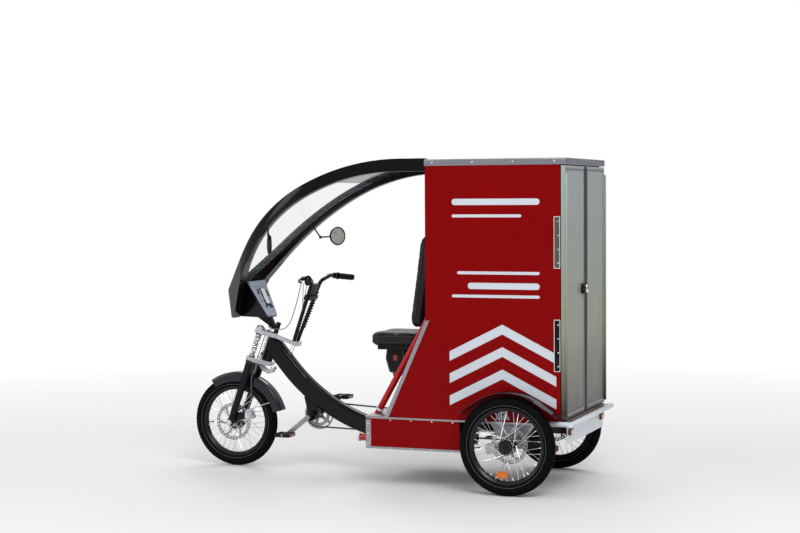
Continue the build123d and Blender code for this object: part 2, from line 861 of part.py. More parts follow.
# Red tubes: two slanted struts from the wall to the deck, and two open tubes low at the front
strut_run = Vector(cos(radians(strut_slope)), 0, -sin(radians(strut_slope)))
with BuildPart() as red_tubes:
    strut_up = (strut_point[0] - box_front_x) / cos(radians(strut_slope)) + strut_d
    strut_len = strut_up + (strut_point[1] - box_base_z) / sin(radians(strut_slope)) + strut_d
    for side in (-1, 1):
        top = Vector(strut_point[0], side * strut_half_w, strut_point[1]) - strut_run * strut_up
        with BuildSketch(Plane(origin=top, z_dir=strut_run)):
            Circle(strut_d / 2)
        extrude(amount=strut_len)
    split(bisect_by=Plane(origin=(box_front_x, 0, 0), z_dir=(1, 0, 0)), keep=Keep.TOP)
    split(bisect_by=Plane(origin=(0, 0, box_base_z + deck_t), z_dir=(0, 0, 1)), keep=Keep.TOP)
    for side in (-1, 1):
        for x in lower_tab_x:
            with BuildSketch(Plane.XY.offset(lower_tube_z)):
                with Locations((x, side * chassis_half_w)):
                    Rectangle(lower_tab_w, lower_tab_t)
            extrude(amount=skirt_top_z - chassis_rail_h - lower_tube_z)
        with BuildSketch(Plane.YZ.offset(lower_tube_x[0])):
            with Locations((side * chassis_half_w, lower_tube_z)):
                Circle(lower_tube_d / 2)
        extrude(amount=lower_tube_x[1] - lower_tube_x[0])
        with BuildSketch(Plane.YZ.offset(lower_tube_x[0])):
            with Locations((side * chassis_half_w, lower_tube_z)):
                Circle(lower_tube_d / 2 - lower_tube_wall)
        extrude(amount=lower_tube_x[1] - lower_tube_x[0], mode=Mode.SUBTRACT)
pieces["red_tubes"] = red_tubes

# White rings near the feet of the struts and round the open ends of the low tubes
with BuildPart() as tube_rings:
    for side in (-1, 1):
        down = (strut_point[1] - strut_ring_z) / sin(radians(strut_slope))
        strut_foot = Vector(strut_point[0], side * strut_half_w, strut_point[1]) + strut_run * down
        tube_end = Vector(lower_tube_x[1] - tube_ring_w, side * chassis_half_w, lower_tube_z)
        for spot, direction, tube_d in (
            (strut_foot, strut_run * -1, strut_d), (tube_end, Vector(1, 0, 0), lower_tube_d),
        ):
            with BuildSketch(Plane(origin=spot, z_dir=direction)):
                Circle(tube_d / 2 + tube_ring_t)
                Circle(tube_d / 2 + tube_ring_gap, mode=Mode.SUBTRACT)
            extrude(amount=tube_ring_w)
pieces["tube_rings"] = tube_rings



# Canopy arches: the side outline is drawn out across the width and kept where the plan path lies
def side_line(drop, line):
    """Side line of the canopy: straight, bent down, straight again. Returns its two ends."""
    top_z = arch_top_z - drop - line * arch_depth
    straight = Line((box_front_x - arch_start, top_z), (arch_bend_x[line], top_z))
    bend = JernArc(straight @ 1, straight % 1, arch_radius[line] - drop, -arch_turn[line])
    run = Line(bend @ 1, bend @ 1 + (bend % 1) * arch_foot_reach)
    return straight @ 0, run @ 1


def plan_line(side, outward, reach):
    """Plan line beside the middle of one arch, moved outward. Returns its two ends."""
    y = side * (arch_half_spacing + outward)
    straight = Line((box_front_x, y), (arch_plan_x, y))
    bend = JernArc(straight @ 1, straight % 1, arch_plan_radius + outward, -side * arch_plan_turn)
    run = Line(bend @ 1, bend @ 1 + (bend % 1) * reach)
    return straight @ 0, run @ 1


def plane_through(first, second):
    """Plane across the width through two points of the side view, with its normal forward or up."""
    run = Vector(second[0] - first[0], 0, second[1] - first[1])
    return Plane(origin=(first[0], 0, first[1]), x_dir=(0, 1, 0), z_dir=(-run.Z, 0, run.X))


nose_front = plane_through(nose_tip, nose_chin)
nose_top = plane_through(nose_crown, nose_tip)
cap_front = Plane(origin=(box_front_x + cap_lip, 0, 0), z_dir=(1, 0, 0))
for name, side in (("canopy_arch_left", 1), ("canopy_arch_right", -1)):
    with BuildPart() as arch:
        with BuildSketch(side_plane(box_half_w)):
            with BuildLine():
                outer = side_line(0, 0)
                inner = side_line(0, 1)
                Line(outer[0], inner[0])
                Line(outer[1], inner[1])
            make_face()
            with BuildLine():
                chin_rear = (nose_chin[0] - arch_chin_run, nose_chin[1])
                Polyline(nose_crown, nose_tip, nose_chin, chin_rear, close=True)
            make_face()
        extrude(amount=2 * box_half_w)
        with BuildSketch():
            with BuildLine():
                outer = plan_line(side, arch_w / 2, arch_foot_reach)
                inner = plan_line(side, -arch_w / 2, arch_foot_reach)
                Line(outer[0], inner[0])
                Line(outer[1], inner[1])
            make_face()
        extrude(amount=arch_top_z, mode=Mode.INTERSECT)
        split(bisect_by=cap_front, keep=Keep.TOP)
        split(bisect_by=nose_front, keep=Keep.BOTTOM)
        split(bisect_by=Plane(origin=(0, side * arch_middle_gap, 0), z_dir=(0, side, 0)), keep=Keep.TOP)
    pieces[name] = arch

# Nose pod between the feet of the arches, and the console plate on its rear face
nose_rear = plane_through(nose_heel, nose_crown)
rear_middle = (Vector(nose_heel[0], 0, nose_heel[1]) + Vector(nose_crown[0], 0, nose_crown[1])) / 2
front_middle = (Vector(nose_chin[0], 0, nose_chin[1]) + Vector(nose_tip[0], 0, nose_tip[1])) / 2
rear_len = Vector(nose_crown[0] - nose_heel[0], nose_crown[1] - nose_heel[1]).length
front_len = Vector(nose_tip[0] - nose_chin[0], nose_tip[1] - nose_chin[1]).length
rear_face = Plane(origin=rear_middle, x_dir=(0, 1, 0), z_dir=nose_rear.z_dir)
front_face = Plane(
    origin=front_middle - nose_front.z_dir * nose_front_inset, x_dir=(0, 1, 0), z_dir=nose_front.z_dir * -1
)
with BuildPart() as nose_pod:
    with BuildSketch(rear_face):
        top_half_w, low_half_w = nose_rear_half_w
        with BuildLine():
            Polyline(
                (-top_half_w, -rear_len / 2), (top_half_w, -rear_len / 2),
                (low_half_w, rear_len / 2), (-low_half_w, rear_len / 2), close=True,
            )
        make_face()
    with BuildSketch(front_face):
        Rectangle(2 * nose_front_half_w, front_len)
    loft(ruled=True)
    for arch_name in ("canopy_arch_left", "canopy_arch_right"):
        add(pieces[arch_name].part, mode=Mode.SUBTRACT)
pieces["nose_pod"] = nose_pod

with BuildPart() as console:
    with BuildSketch(rear_face) as console_outline:
        top_half_w, low_half_w = console_half_w
        plate_half_len = rear_len / 2 - console_margin
        with BuildLine():
            Polyline(
                (-top_half_w, -plate_half_len), (top_half_w, -plate_half_len),
                (low_half_w, plate_half_len), (-low_half_w, plate_half_len), close=True,
            )
        make_face()
        fillet(console_outline.vertices(), console_corner)
    extrude(amount=console_t)
pieces["console"] = console

# Glazing between the arches: a tinted roof sheet behind and a clear windshield in front
for name, x_from, x_to in (
    ("canopy_roof", box_front_x + cap_lip, tint_front_x),
    ("windshield", tint_front_x + glazing_seam, nose_tip[0]),
):
    with BuildPart() as glazing:
        with BuildSketch(side_plane(arch_half_spacing)):
            with BuildLine():
                top = side_line(glazing_drop, 0)
                low = side_line(glazing_drop + glazing_t, 0)
                Line(top[0], low[0])
                Line(top[1], low[1])
            make_face()
        extrude(amount=2 * arch_half_spacing)
        with BuildSketch():
            with BuildLine():
                left = plan_line(1, -arch_w / 2 - glazing_side_gap, glazing_reach)
                right = plan_line(-1, -arch_w / 2 - glazing_side_gap, glazing_reach)
                Line(left[0], right[0])
                Line(left[1], right[1])
            make_face()
        extrude(amount=arch_top_z, mode=Mode.INTERSECT)
        split(bisect_by=Plane(origin=(x_from, 0, 0), z_dir=(1, 0, 0)), keep=Keep.TOP)
        split(bisect_by=Plane(origin=(x_to, 0, 0), z_dir=(1, 0, 0)), keep=Keep.BOTTOM)
        split(bisect_by=nose_top, keep=Keep.TOP)
    pieces[name] = glazing

# Mirrors on jointed stalks from the arches
with BuildPart() as mirrors:
    for side, disc, elbow, clamp in mirror_spots:
        facing = Vector(-cos(radians(mirror_turn)), -side * sin(radians(mirror_turn)), 0)
        disc_back = Vector(disc) - facing * mirror_t / 2
        with Locations(Location(Plane(origin=disc, z_dir=facing * -1))):
            Cone(
                mirror_d / 2, mirror_d / 2 - mirror_t * tan(radians(mirror_taper)), mirror_t,
                align=(Align.CENTER, Align.CENTER, Align.MIN),
            )
        for stalk_from, stalk_to in ((disc_back, Vector(elbow)), (Vector(elbow), Vector(clamp))):
            with BuildSketch(Plane(origin=stalk_from, z_dir=stalk_to - stalk_from)):
                Circle(mirror_stalk_d / 2)
            extrude(amount=(stalk_to - stalk_from).length)
        with Locations(elbow):
            Cylinder(mirror_joint_d / 2, mirror_joint_h)
    for arch_name in ("canopy_arch_left", "canopy_arch_right"):
        add(pieces[arch_name].part, mode=Mode.SUBTRACT)
pieces["mirrors"] = mirrors

# Chain: one flat loop round the chainring and the rear sprocket
with BuildPart() as chain:
    ring_r = ring_d / 2 + chain_seat
    rear_r = sprocket_d / 2 + chain_seat
    ring_c = Vector(crank_x, crank_z)
    rear_c = Vector(0, wheel_r)
    distance = (ring_c - rear_c).length
    line_angle = degrees(atan2(ring_c.Y - rear_c.Y, ring_c.X - rear_c.X))
    wrap = degrees(atan2(ring_r - rear_r, distance))
    with BuildSketch(side_plane(ring_y + chain_w / 2)):
        for growth, mode in ((chain_h, Mode.ADD), (0, Mode.SUBTRACT)):
            big, small = ring_r + growth, rear_r + growth
            corners = []
            for centre, radius, angle in (
                (rear_c, small, line_angle + 90 + wrap), (ring_c, big, line_angle + 90 + wrap),
                (ring_c, big, line_angle - 90 - wrap), (rear_c, small, line_angle - 90 - wrap),
            ):
                corners.append(centre + Vector(cos(radians(angle)), sin(radians(angle))) * radius)
            with BuildLine():
                Line(corners[0], corners[1])
                ThreePointArc(corners[1], ring_c + Vector(big, 0).rotate(Axis.Z, line_angle), corners[2])
                Line(corners[2], corners[3])
                ThreePointArc(corners[3], rear_c + Vector(-small, 0).rotate(Axis.Z, line_angle), corners[0])
            make_face(mode=mode)
    extrude(amount=chain_w)
pieces["chain"] = chain

# Crank set: axle, two arms, chainring and the guard ring outside the chain
arm = Vector(cos(radians(crank_angle)), sin(radians(crank_angle)))
ring_guard_y = ring_y - chain_w / 2 - ring_guard_gap - ring_guard_t / 2
with BuildPart() as crank_set:
    with BuildSketch(side_plane(crank_y + crank_t / 2)):
        with Locations((crank_x, crank_z)):
            Circle(axle_d / 2)
    extrude(amount=2 * crank_y + crank_t)
    for side in (-1, 1):
        middle = Vector(crank_x, crank_z) + arm * (side * crank_len / 2)
        with BuildSketch(side_plane(side * crank_y + crank_t / 2)):
            with Locations((middle.X, middle.Y)):
                SlotCenterToCenter(crank_len, crank_w, rotation=crank_angle)
        extrude(amount=crank_t)
        tip = Vector(crank_x, crank_z) + arm * (side * crank_len)
        pedal_end = crank_y + crank_t / 2 + pedal_gap + pedal_w + pedal_cap
        with BuildSketch(side_plane(pedal_end if side == 1 else -crank_y)):
            with Locations((tip.X, tip.Y)):
                Circle(pedal_axle_d / 2)
        extrude(amount=pedal_end - crank_y)
    for disc_y, disc_t, disc_r, band in (
        (ring_y, ring_t, ring_d / 2, ring_band), (ring_guard_y, ring_guard_t, ring_guard_d / 2, ring_guard_w),
    ):
        with BuildSketch(side_plane(disc_y + disc_t / 2)):
            with Locations((crank_x, crank_z)):
                Circle(disc_r)
                Circle(disc_r - band, mode=Mode.SUBTRACT)
                Circle(ring_boss_d / 2)
                for index in range(ring_arms):
                    with Locations(Location((0, 0, 0), (0, 0, index * 360 / ring_arms))):
                        with Locations(((disc_r - band / 2) / 2, 0)):
                            Rectangle(disc_r - band / 2, ring_arm_w)
        extrude(amount=disc_t)
pieces["crank_set"] = crank_set

for name, side in (("pedal_left", 1), ("pedal_right", -1)):
    spot = Vector(crank_x, crank_z) + arm * (side * crank_len)
    pedal_y = side * (crank_y + crank_t / 2 + pedal_gap + pedal_w / 2)
    with BuildPart() as pedal:
        with BuildSketch(side_plane(pedal_y + pedal_w / 2)):
            with Locations((spot.X, spot.Y)):
                RectangleRounded(pedal_len, pedal_t, pedal_corner)
                Circle(pedal_axle_d / 2 + running_gap, mode=Mode.SUBTRACT)
        extrude(amount=pedal_w)
        with BuildSketch(Plane.XY.offset(spot.Y - pedal_t)):
            with Locations((spot.X - pedal_len / 4, pedal_y), (spot.X + pedal_len / 4, pedal_y)):
                Rectangle(*pedal_window)
        extrude(amount=2 * pedal_t, mode=Mode.SUBTRACT)
    pieces[name] = pedal

# Fork crowns, each clamped round both legs. The upper one has a tail for the handlebar and a cap
# over each leg; the lower one has a curved arm that ends in a cross bolt.
for name, height, tail in (
    ("upper_crown", upper_crown_at, crown_tail), ("lower_crown", lower_crown_at, lower_tail),
):
    front, behind = -fork_offset - crown_half_depth, -fork_offset + crown_half_depth
    with BuildPart() as crown:
        with BuildSketch(crown_plane(height)):
            with BuildLine():
                Polyline(
                    (front, -crown_w / 2), (behind, -crown_w / 2), (crown_neck, -crown_neck_half_w),
                    (tail, -crown_tail_half_w), (tail, crown_tail_half_w), (crown_neck, crown_neck_half_w),
                    (behind, crown_w / 2), (front, crown_w / 2), close=True,
                )
            make_face()
            Circle(spindle_d / 2 + running_gap, mode=Mode.SUBTRACT)
            with Locations((hose_crown_spot[0], -hose_crown_spot[1])):
                SlotCenterToCenter(hose_slot, hose_hole_d, mode=Mode.SUBTRACT)
        extrude(amount=crown_t)
        if name == "upper_crown":
            with BuildSketch(crown_plane(height + crown_t)):
                with Locations(*[(-fork_offset, side * leg_half_spacing) for side in (-1, 1)]):
                    Circle(crown_cap_d / 2)
            extrude(amount=crown_cap_h)
            rims = crown.edges().filter_by(GeomType.CIRCLE)
            rims = rims.sort_by(lambda edge: (edge.center() - steer_ground).dot(steer_up))
            fillet(rims[-2:], crown_cap_corner)
        else:
            arm_side = Plane(origin=on_axis(height), x_dir=steer_back, z_dir=(0, 1, 0))
            with BuildSketch(arm_side):
                with BuildLine():
                    Polyline(*stop_arm_outline, close=True)
                make_face()
            extrude(amount=stop_arm_w / 2, both=True)
            with BuildSketch(arm_side):
                with Locations(stop_bolt_spot):
                    Circle(stop_bolt_d / 2)
            extrude(amount=stop_bolt_w / 2, both=True)
    pieces[name] = crown

# Sprung stanchions: a rod with the outer shape of a coil spring between the crowns, one on each side
spring_from = lower_crown_at + crown_t
spring_len = upper_crown_at - spring_from
coil_pitch = (spring_len - 2 * coil_end_gap) / coil_turns
with BuildPart() as fork_springs:
    for side in (-1, 1):
        spring_foot = on_axis(spring_from, -fork_offset, side * leg_half_spacing)
        spring_plane = Plane(origin=spring_foot, x_dir=steer_back, z_dir=steer_back.cross(steer_up))
        outline = [(0, 0), (stanchion_d / 2, 0)]
        for turn in range(coil_turns):
            groove_at = coil_end_gap + turn * coil_pitch
            outline += [(coil_d / 2 - coil_wire_d, groove_at), (coil_d / 2, groove_at + coil_pitch / 2)]
        outline += [(coil_d / 2 - coil_wire_d, spring_len - coil_end_gap)]
        outline += [(stanchion_d / 2, spring_len), (0, spring_len)]
        with BuildSketch(spring_plane):
            with BuildLine():
                Polyline(*outline, close=True)
            make_face()
        revolve(axis=Axis(spring_foot, steer_up))
pieces["fork_springs"] = fork_springs

# Lower legs with the front axle and the lug that holds the brake caliper
caliper_out_dir = Vector(cos(radians(front_caliper_turn)), 0, sin(radians(front_caliper_turn)))
caliper_centre = front_axle + caliper_out_dir * (front_rotor_d / 2 - front_caliper_inset)
with BuildPart() as fork_legs:
    for side in (-1, 1):
        with BuildSketch(crown_plane(axle_height - leg_below_axle)):
            with Locations((-fork_offset, side * leg_half_spacing)):
                Circle(leg_foot_d / 2)
        with BuildSketch(crown_plane(lower_crown_at)):
            with Locations((-fork_offset, side * leg_half_spacing)):
                Circle(leg_d / 2)
        loft()
    with BuildSketch(side_plane(leg_half_spacing)):
        with Locations((front_axle.X, front_axle.Z)):
            Circle(front_axle_d / 2)
    extrude(amount=2 * leg_half_spacing)
    with BuildSketch(side_plane(front_caliper_y[1] + caliper_lug_t)):
        with BuildLine():
            lug_front = on_axis(axle_height + leg_foot_d, -fork_offset)
            Polyline(
                (lug_front.X, lug_front.Z + caliper_w / 2), (lug_front.X, lug_front.Z - caliper_w / 2),
                (caliper_centre.X + caliper_w / 3, caliper_centre.Z - caliper_w / 3),
                (caliper_centre.X + caliper_w / 3, caliper_centre.Z + caliper_w / 3), close=True,
            )
        make_face()
    extrude(amount=caliper_lug_t)
pieces["fork_legs"] = fork_legs

# Front mudguard: a channel section turned about its own centre, with the post that carries it
guard_centre = front_axle - Vector(front_guard_back, 0, front_guard_drop)
with BuildPart() as front_mudguard:
    from_dir = Vector(cos(radians(front_guard_from)), 0, sin(radians(front_guard_from)))
    low_r = front_guard_r - front_guard_wall
    with BuildSketch(Plane(origin=guard_centre, x_dir=from_dir, z_dir=from_dir.cross(Vector(0, 1, 0)))):
        for inset, mode in ((0, Mode.ADD), (guard_t, Mode.SUBTRACT)):
            half_w, top_r = front_guard_w / 2 - inset, front_guard_r - inset
            with BuildLine():
                FilletPolyline(
                    (low_r, -half_w), (top_r, -half_w), (top_r, half_w), (low_r, half_w),
                    radius=front_guard_corner - inset,
                )
                Line((low_r, half_w), (low_r, -half_w))
            make_face(mode=mode)
    revolve(axis=Axis(guard_centre, (0, -1, 0)), revolution_arc=front_guard_to - front_guard_from)
    post_foot = on_axis(axle_height, -fork_offset)
    along_up = (guard_centre - post_foot).dot(steer_up)
    across_gap = (guard_centre - post_foot).dot(steer_back)
    post_from = axle_height + along_up + (front_guard_r**2 - across_gap**2) ** 0.5 - 2 * guard_t
    with BuildSketch(crown_plane(post_from)):
        with Locations((-fork_offset, 0)):
            Rectangle(guard_post_t, guard_post_w)
    extrude(amount=lower_crown_at - post_from)
pieces["front_mudguard"] = front_mudguard

# Handlebar: two risers on the upper crown's tail, swept back into the bar's two ends
riser_foot = on_axis(upper_crown_at + crown_t, crown_tail - riser_inset)
riser_top = riser_foot + Vector(-sin(radians(riser_lean)), 0, cos(radians(riser_lean))) * riser_rise


def riser_line(side):
    """Corners of one half of the handlebar, from the crown to the bar's end."""
    return [
        riser_foot + Vector(0, side * riser_half_spacing / 2, 0),
        riser_foot + Vector(0, side * riser_half_spacing / 2, 0) + steer_up * riser_socket,
        riser_top + Vector(0, side * riser_half_spacing, 0),
        riser_top + Vector(-bar_forward, side * grip_run, bar_rise),
        riser_top + Vector(-bar_forward - grip_sweep, side * bar_half_w, bar_rise - bar_drop),
    ]


with BuildPart() as handlebar:
    for side in (-1, 1):
        corners = riser_line(side)
        with BuildLine() as riser_path:
            FilletPolyline(*corners, radius=bar_bends)
        with BuildSketch(Plane(origin=corners[0], x_dir=(0, 1, 0), z_dir=steer_up)):
            Circle(bar_d / 2)
        sweep(path=riser_path.line)
pieces["handlebar"] = handlebar

# Grips, brake levers and the brace with the display, each closed round the bar
with BuildPart() as grips:
    for side in (-1, 1):
        inner, bar_end = riser_line(side)[3:]
        outward = (bar_end - inner).normalized()
        for along, width, outer_d, inner_d in (
            (-grip_len, grip_len + grip_cap_t, grip_d, bar_d + 2 * clamp_gap),
            (-grip_len, grip_flange_w, grip_flange_d, bar_d + 2 * clamp_gap),
            (clamp_gap, grip_cap_t, grip_d, 0),
        ):
            with BuildSketch(Plane(origin=bar_end + outward * along, z_dir=outward)):
                Circle(outer_d / 2)
                if inner_d:
                    Circle(inner_d / 2, mode=Mode.SUBTRACT)
            extrude(amount=width)
pieces["grips"] = grips


def lever_plane(side):
    """Plane of one brake lever: local X outward along the bar, local Y forward."""
    inner, bar_end = riser_line(side)[3:]
    outward = (bar_end - inner).normalized()
    forward = (Vector(1, 0, 0) - outward * outward.X).normalized()
    return Plane(
        origin=bar_end - outward * (grip_len + lever_from_grip), x_dir=outward, z_dir=outward.cross(forward),
    )


# Route of the brake hose. After its start at the lever, each point is back, left and height along
# the steering axis.
lever_at = lever_plane(1)
hose_start = lever_at.from_local_coords(Vector(*hose_from))
hose_route = [hose_start, hose_start - lever_at.x_dir * hose_first]
hose_route += [on_axis(height, back, across) for back, across, height in hose_points]
hose_end_dir = (hose_route[-1] - hose_route[-2]).normalized()


def arc_radii(route):
    """Radius of the tangent arc at each inner point of a route, as large as its two runs allow."""
    radii = []
    for before, here, after in zip(route, route[1:], route[2:]):
        turn = radians((here - before).get_angle(after - here))
        radii.append(0.45 * min((here - before).length, (after - here).length) / tan(turn / 2))
    return radii


print("brake hose radii", [round(radius) for radius in arc_radii(hose_route)])
with BuildPart() as brake_hose:
    with BuildLine() as hose_path:
        FilletPolyline(*hose_route, radius=arc_radii(hose_route))
    with BuildSketch(Plane(origin=hose_start, z_dir=hose_route[1] - hose_start)):
        Circle(hose_d / 2)
    sweep(path=hose_path.line)
pieces["brake_hose"] = brake_hose

with BuildPart() as brake_levers:
    for side in (-1, 1):
        lever = lever_plane(side)
        with BuildSketch(Plane(origin=lever.origin - lever.x_dir * lever_ring_w / 2, z_dir=lever.x_dir)):
            Circle(lever_ring_d / 2)
        extrude(amount=lever_ring_w)
        for outline, thickness in ((lever_body, lever_body_w), (lever_blade, lever_blade_t)):
            with BuildSketch(lever):
                with BuildLine():
                    Polyline(*outline, close=True)
                make_face()
            extrude(amount=thickness / 2, both=True)
        with BuildSketch(Plane(origin=lever.origin - lever.x_dir * grip_d, z_dir=lever.x_dir)):
            Circle(bar_d / 2 + clamp_gap)
        extrude(amount=2 * grip_d, mode=Mode.SUBTRACT)
    with BuildSketch(Plane(origin=hose_start, z_dir=hose_start - hose_route[1])):
        Circle(hose_boss_d / 2)
    extrude(amount=hose_boss_len)
pieces["brake_levers"] = brake_levers

riser_dir = Vector(-sin(radians(riser_lean)), 0, cos(radians(riser_lean)))
brace_origin = riser_foot + riser_dir * brace_at
display_at = brace_origin + riser_dir * (2 * brace_h + display_h / 4)
with BuildPart() as handlebar_display:
    brace_plane = Plane(origin=brace_origin, x_dir=(0, 1, 0), z_dir=riser_dir)
    with BuildSketch(brace_plane):
        SlotOverall(2 * riser_half_spacing + brace_w, brace_w)
    extrude(amount=brace_h)
    for side in (-1, 1):
        riser_low, riser_high = riser_line(side)[1:3]
        with BuildSketch(Plane(origin=riser_low, z_dir=riser_high - riser_low)):
            Circle(bar_d / 2 + clamp_gap)
        extrude(amount=(riser_high - riser_low).length, mode=Mode.SUBTRACT)
    with BuildSketch(brace_plane.offset(brace_h)):
        Rectangle(brace_w, display_t)
    extrude(amount=brace_h)
    with BuildSketch(Plane(origin=display_at, x_dir=(0, 1, 0), z_dir=riser_dir.cross(Vector(0, 1, 0)))):
        RectangleRounded(display_w, display_h, display_corner)
    extrude(amount=display_t / 2, both=True)
pieces["handlebar_display"] = handlebar_display

# Brake calipers: a block over the edge of each rotor, open where the rotor runs
front_rotor_y = hub_w / 2 + rotor_gap
with BuildPart() as front_caliper:
    with BuildSketch(Plane(
        origin=caliper_centre + Vector(0, front_caliper_y[0], 0), x_dir=caliper_out_dir, z_dir=(0, 1, 0),
    )):
        RectangleRounded(caliper_len, caliper_w, caliper_corner)
    extrude(amount=front_caliper_y[1] - front_caliper_y[0])
    adjuster = caliper_centre + caliper_out_dir * caliper_w / 4
    with BuildSketch(side_plane(front_caliper_y[1] + adjuster_t)):
        with Locations((adjuster.X, adjuster.Z)):
            Circle(adjuster_d / 2)
    extrude(amount=adjuster_t)
    with BuildSketch(Plane(origin=hose_route[-1], z_dir=hose_end_dir)):
        Circle(hose_boss_d / 2)
    extrude(amount=hose_boss_len)
    with BuildSketch(side_plane(front_rotor_y + rotor_t / 2 + caliper_gap)):
        with Locations((front_axle.X, front_axle.Z)):
            Circle(front_rotor_d / 2 + rotor_clear)
    extrude(amount=rotor_t + 2 * caliper_gap, mode=Mode.SUBTRACT)
pieces["front_caliper"] = front_caliper

rear_rotor_y = rear_track / 2 - hub_w / 2 - rotor_gap
with BuildPart() as rear_calipers:
    turn = radians(rear_caliper_turn)
    out_dir = Vector(cos(turn), 0, sin(turn))
    centre = Vector(0, rear_rotor_y - rear_caliper_inner, wheel_r)
    centre += out_dir * (rear_rotor_d / 2 + rear_caliper_out)
    with BuildSketch(Plane(origin=centre, x_dir=out_dir, z_dir=(0, 1, 0))):
        RectangleRounded(rear_caliper_len, caliper_w, caliper_corner)
    extrude(amount=rear_caliper_inner + rear_caliper_outer)
    with BuildSketch(Plane(origin=centre - Vector(0, adjuster_t, 0), x_dir=out_dir, z_dir=(0, 1, 0))):
        Circle(adjuster_d / 2)
    extrude(amount=adjuster_t)
    with BuildSketch(side_plane(rear_rotor_y - rear_caliper_inner + rear_caliper_arm_t)):
        with BuildLine():
            arm_low, arm_high = rear_caliper_arm_z
            Polyline(
                (axle_beam / 2, arm_low), (centre.X, arm_low - rear_caliper_arm_t),
                (centre.X, arm_high - rear_caliper_arm_t), (axle_beam / 2, arm_high), close=True,
            )
        make_face()
    extrude(amount=rear_caliper_arm_t)
    with BuildSketch(side_plane(rear_rotor_y + rotor_t / 2 + caliper_gap)):
        with Locations((0, wheel_r)):
            Circle(rear_rotor_d / 2 + rotor_clear)
    extrude(amount=rotor_t + 2 * caliper_gap, mode=Mode.SUBTRACT)
    mirror(about=Plane.XZ)
pieces["rear_calipers"] = rear_calipers


def build_wheel(prefix, rotor_side, rotor_d, bore_d):
    """Tyre and spoked wheel round the Y axis at the origin, with the brake rotor on one side."""
    half_section = [(rim_r, bead_half_w), (wheel_r - tyre_w / 2, tyre_w / 2), (wheel_r, tread_half_w)]
    with BuildPart() as tyre:
        with BuildSketch(Plane.XY):
            with BuildLine():
                Polyline(*half_section, *[(r, -y) for r, y in reversed(half_section)], close=True)
            make_face()
        revolve(axis=Axis.Y)
    pieces[f"{prefix}_tyre"] = tyre
    rim_section = [(rim_r, rim_w / 2), (rim_r - rim_wall_h, rim_w / 2), (rim_inner_r, rim_well_w / 2)]
    with BuildPart() as wheel:
        with BuildSketch(Plane.XY):
            with BuildLine():
                Polyline(*rim_section, *[(r, -y) for r, y in reversed(rim_section)], close=True)
            make_face()
        revolve(axis=Axis.Y)
        with BuildSketch(Plane.XZ.offset(-hub_w / 2)):
            Circle(hub_d / 2)
        extrude(amount=hub_w)
        for y in (-hub_w / 2, hub_w / 2 - flange_t):
            with BuildSketch(Plane.XZ.offset(-y - flange_t)):
                Circle(flange_d / 2)
            extrude(amount=flange_t)
        rods = []
        foot_r = flange_d / 2 - spoke_inset
        foot_y = hub_w / 2 - flange_t / 2
        for index in range(spoke_count):
            side = 1 if index % 2 else -1
            lead = spoke_lead if index // 2 % 2 else -spoke_lead
            angle = radians(index * 360 / spoke_count)
            foot_angle = angle + radians(lead)
            foot = Vector(foot_r * cos(foot_angle), side * foot_y, foot_r * sin(foot_angle))
            tip = Vector(rim_inner_r * cos(angle), side * spoke_cross, rim_inner_r * sin(angle))
            reach = tip - foot
            tip = tip + reach.normalized() * spoke_cross
            rod = Cylinder(
                spoke_d / 2, (tip - foot).length, align=(Align.CENTER, Align.CENTER, Align.MIN),
                mode=Mode.PRIVATE,
            )
            rods.append(Plane(origin=foot, z_dir=reach.normalized()) * rod)
        add(rods)
        with BuildSketch(Plane.XZ.offset(-rotor_side * (hub_w / 2 + rotor_gap) - rotor_t / 2)):
            Circle(rotor_d / 2)
            Circle(rotor_d / 2 - rotor_band, mode=Mode.SUBTRACT)
            Circle(rotor_centre_d / 2)
            for angle in range(0, 360, 60):
                with Locations(Location((0, 0, 0), (0, 0, angle))):
                    with Locations((rotor_d / 4, 0)):
                        Rectangle(rotor_d / 2 - rotor_arm_gap, rotor_arm_w)
        extrude(amount=rotor_t)
        spacer_mid_y = rotor_side * (hub_w / 2 + rotor_gap / 2)
        with BuildSketch(Plane.XZ.offset(-spacer_mid_y)):
            Circle(rotor_spacer_d / 2)
        extrude(amount=(rotor_gap + rotor_t) / 2, both=True)
        Cylinder(bore_d / 2 + running_gap, 2 * hub_w, rotation=(90, 0, 0), mode=Mode.SUBTRACT)
    pieces[f"{prefix}_wheel"] = wheel


spots = {}
for prefix, place, rotor_side, rotor_d, bore_d in (
    ("front", front_axle, 1, front_rotor_d, front_axle_d),
    ("rear_left", Vector(0, rear_track / 2, wheel_r), -1, rear_rotor_d, axle_d),
    ("rear_right", Vector(0, -rear_track / 2, wheel_r), 1, rear_rotor_d, axle_d),
):
    build_wheel(prefix, rotor_side, rotor_d, bore_d)
    spots[f"{prefix}_tyre"] = Location(place)
    spots[f"{prefix}_wheel"] = Location(place)

os.makedirs("parts", exist_ok=True)
for name, piece in pieces.items():
    solid = piece.part.moved(to_middle * spots.get(name, Location()))
    solid.label = name
    export_step(solid, f"parts/{name}.step")
print(len(pieces), "pieces; origin shift", to_middle.position.X)
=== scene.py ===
import json
from math import atan2, cos, pi, radians, sin

import bpy
from mathutils import Matrix, Vector


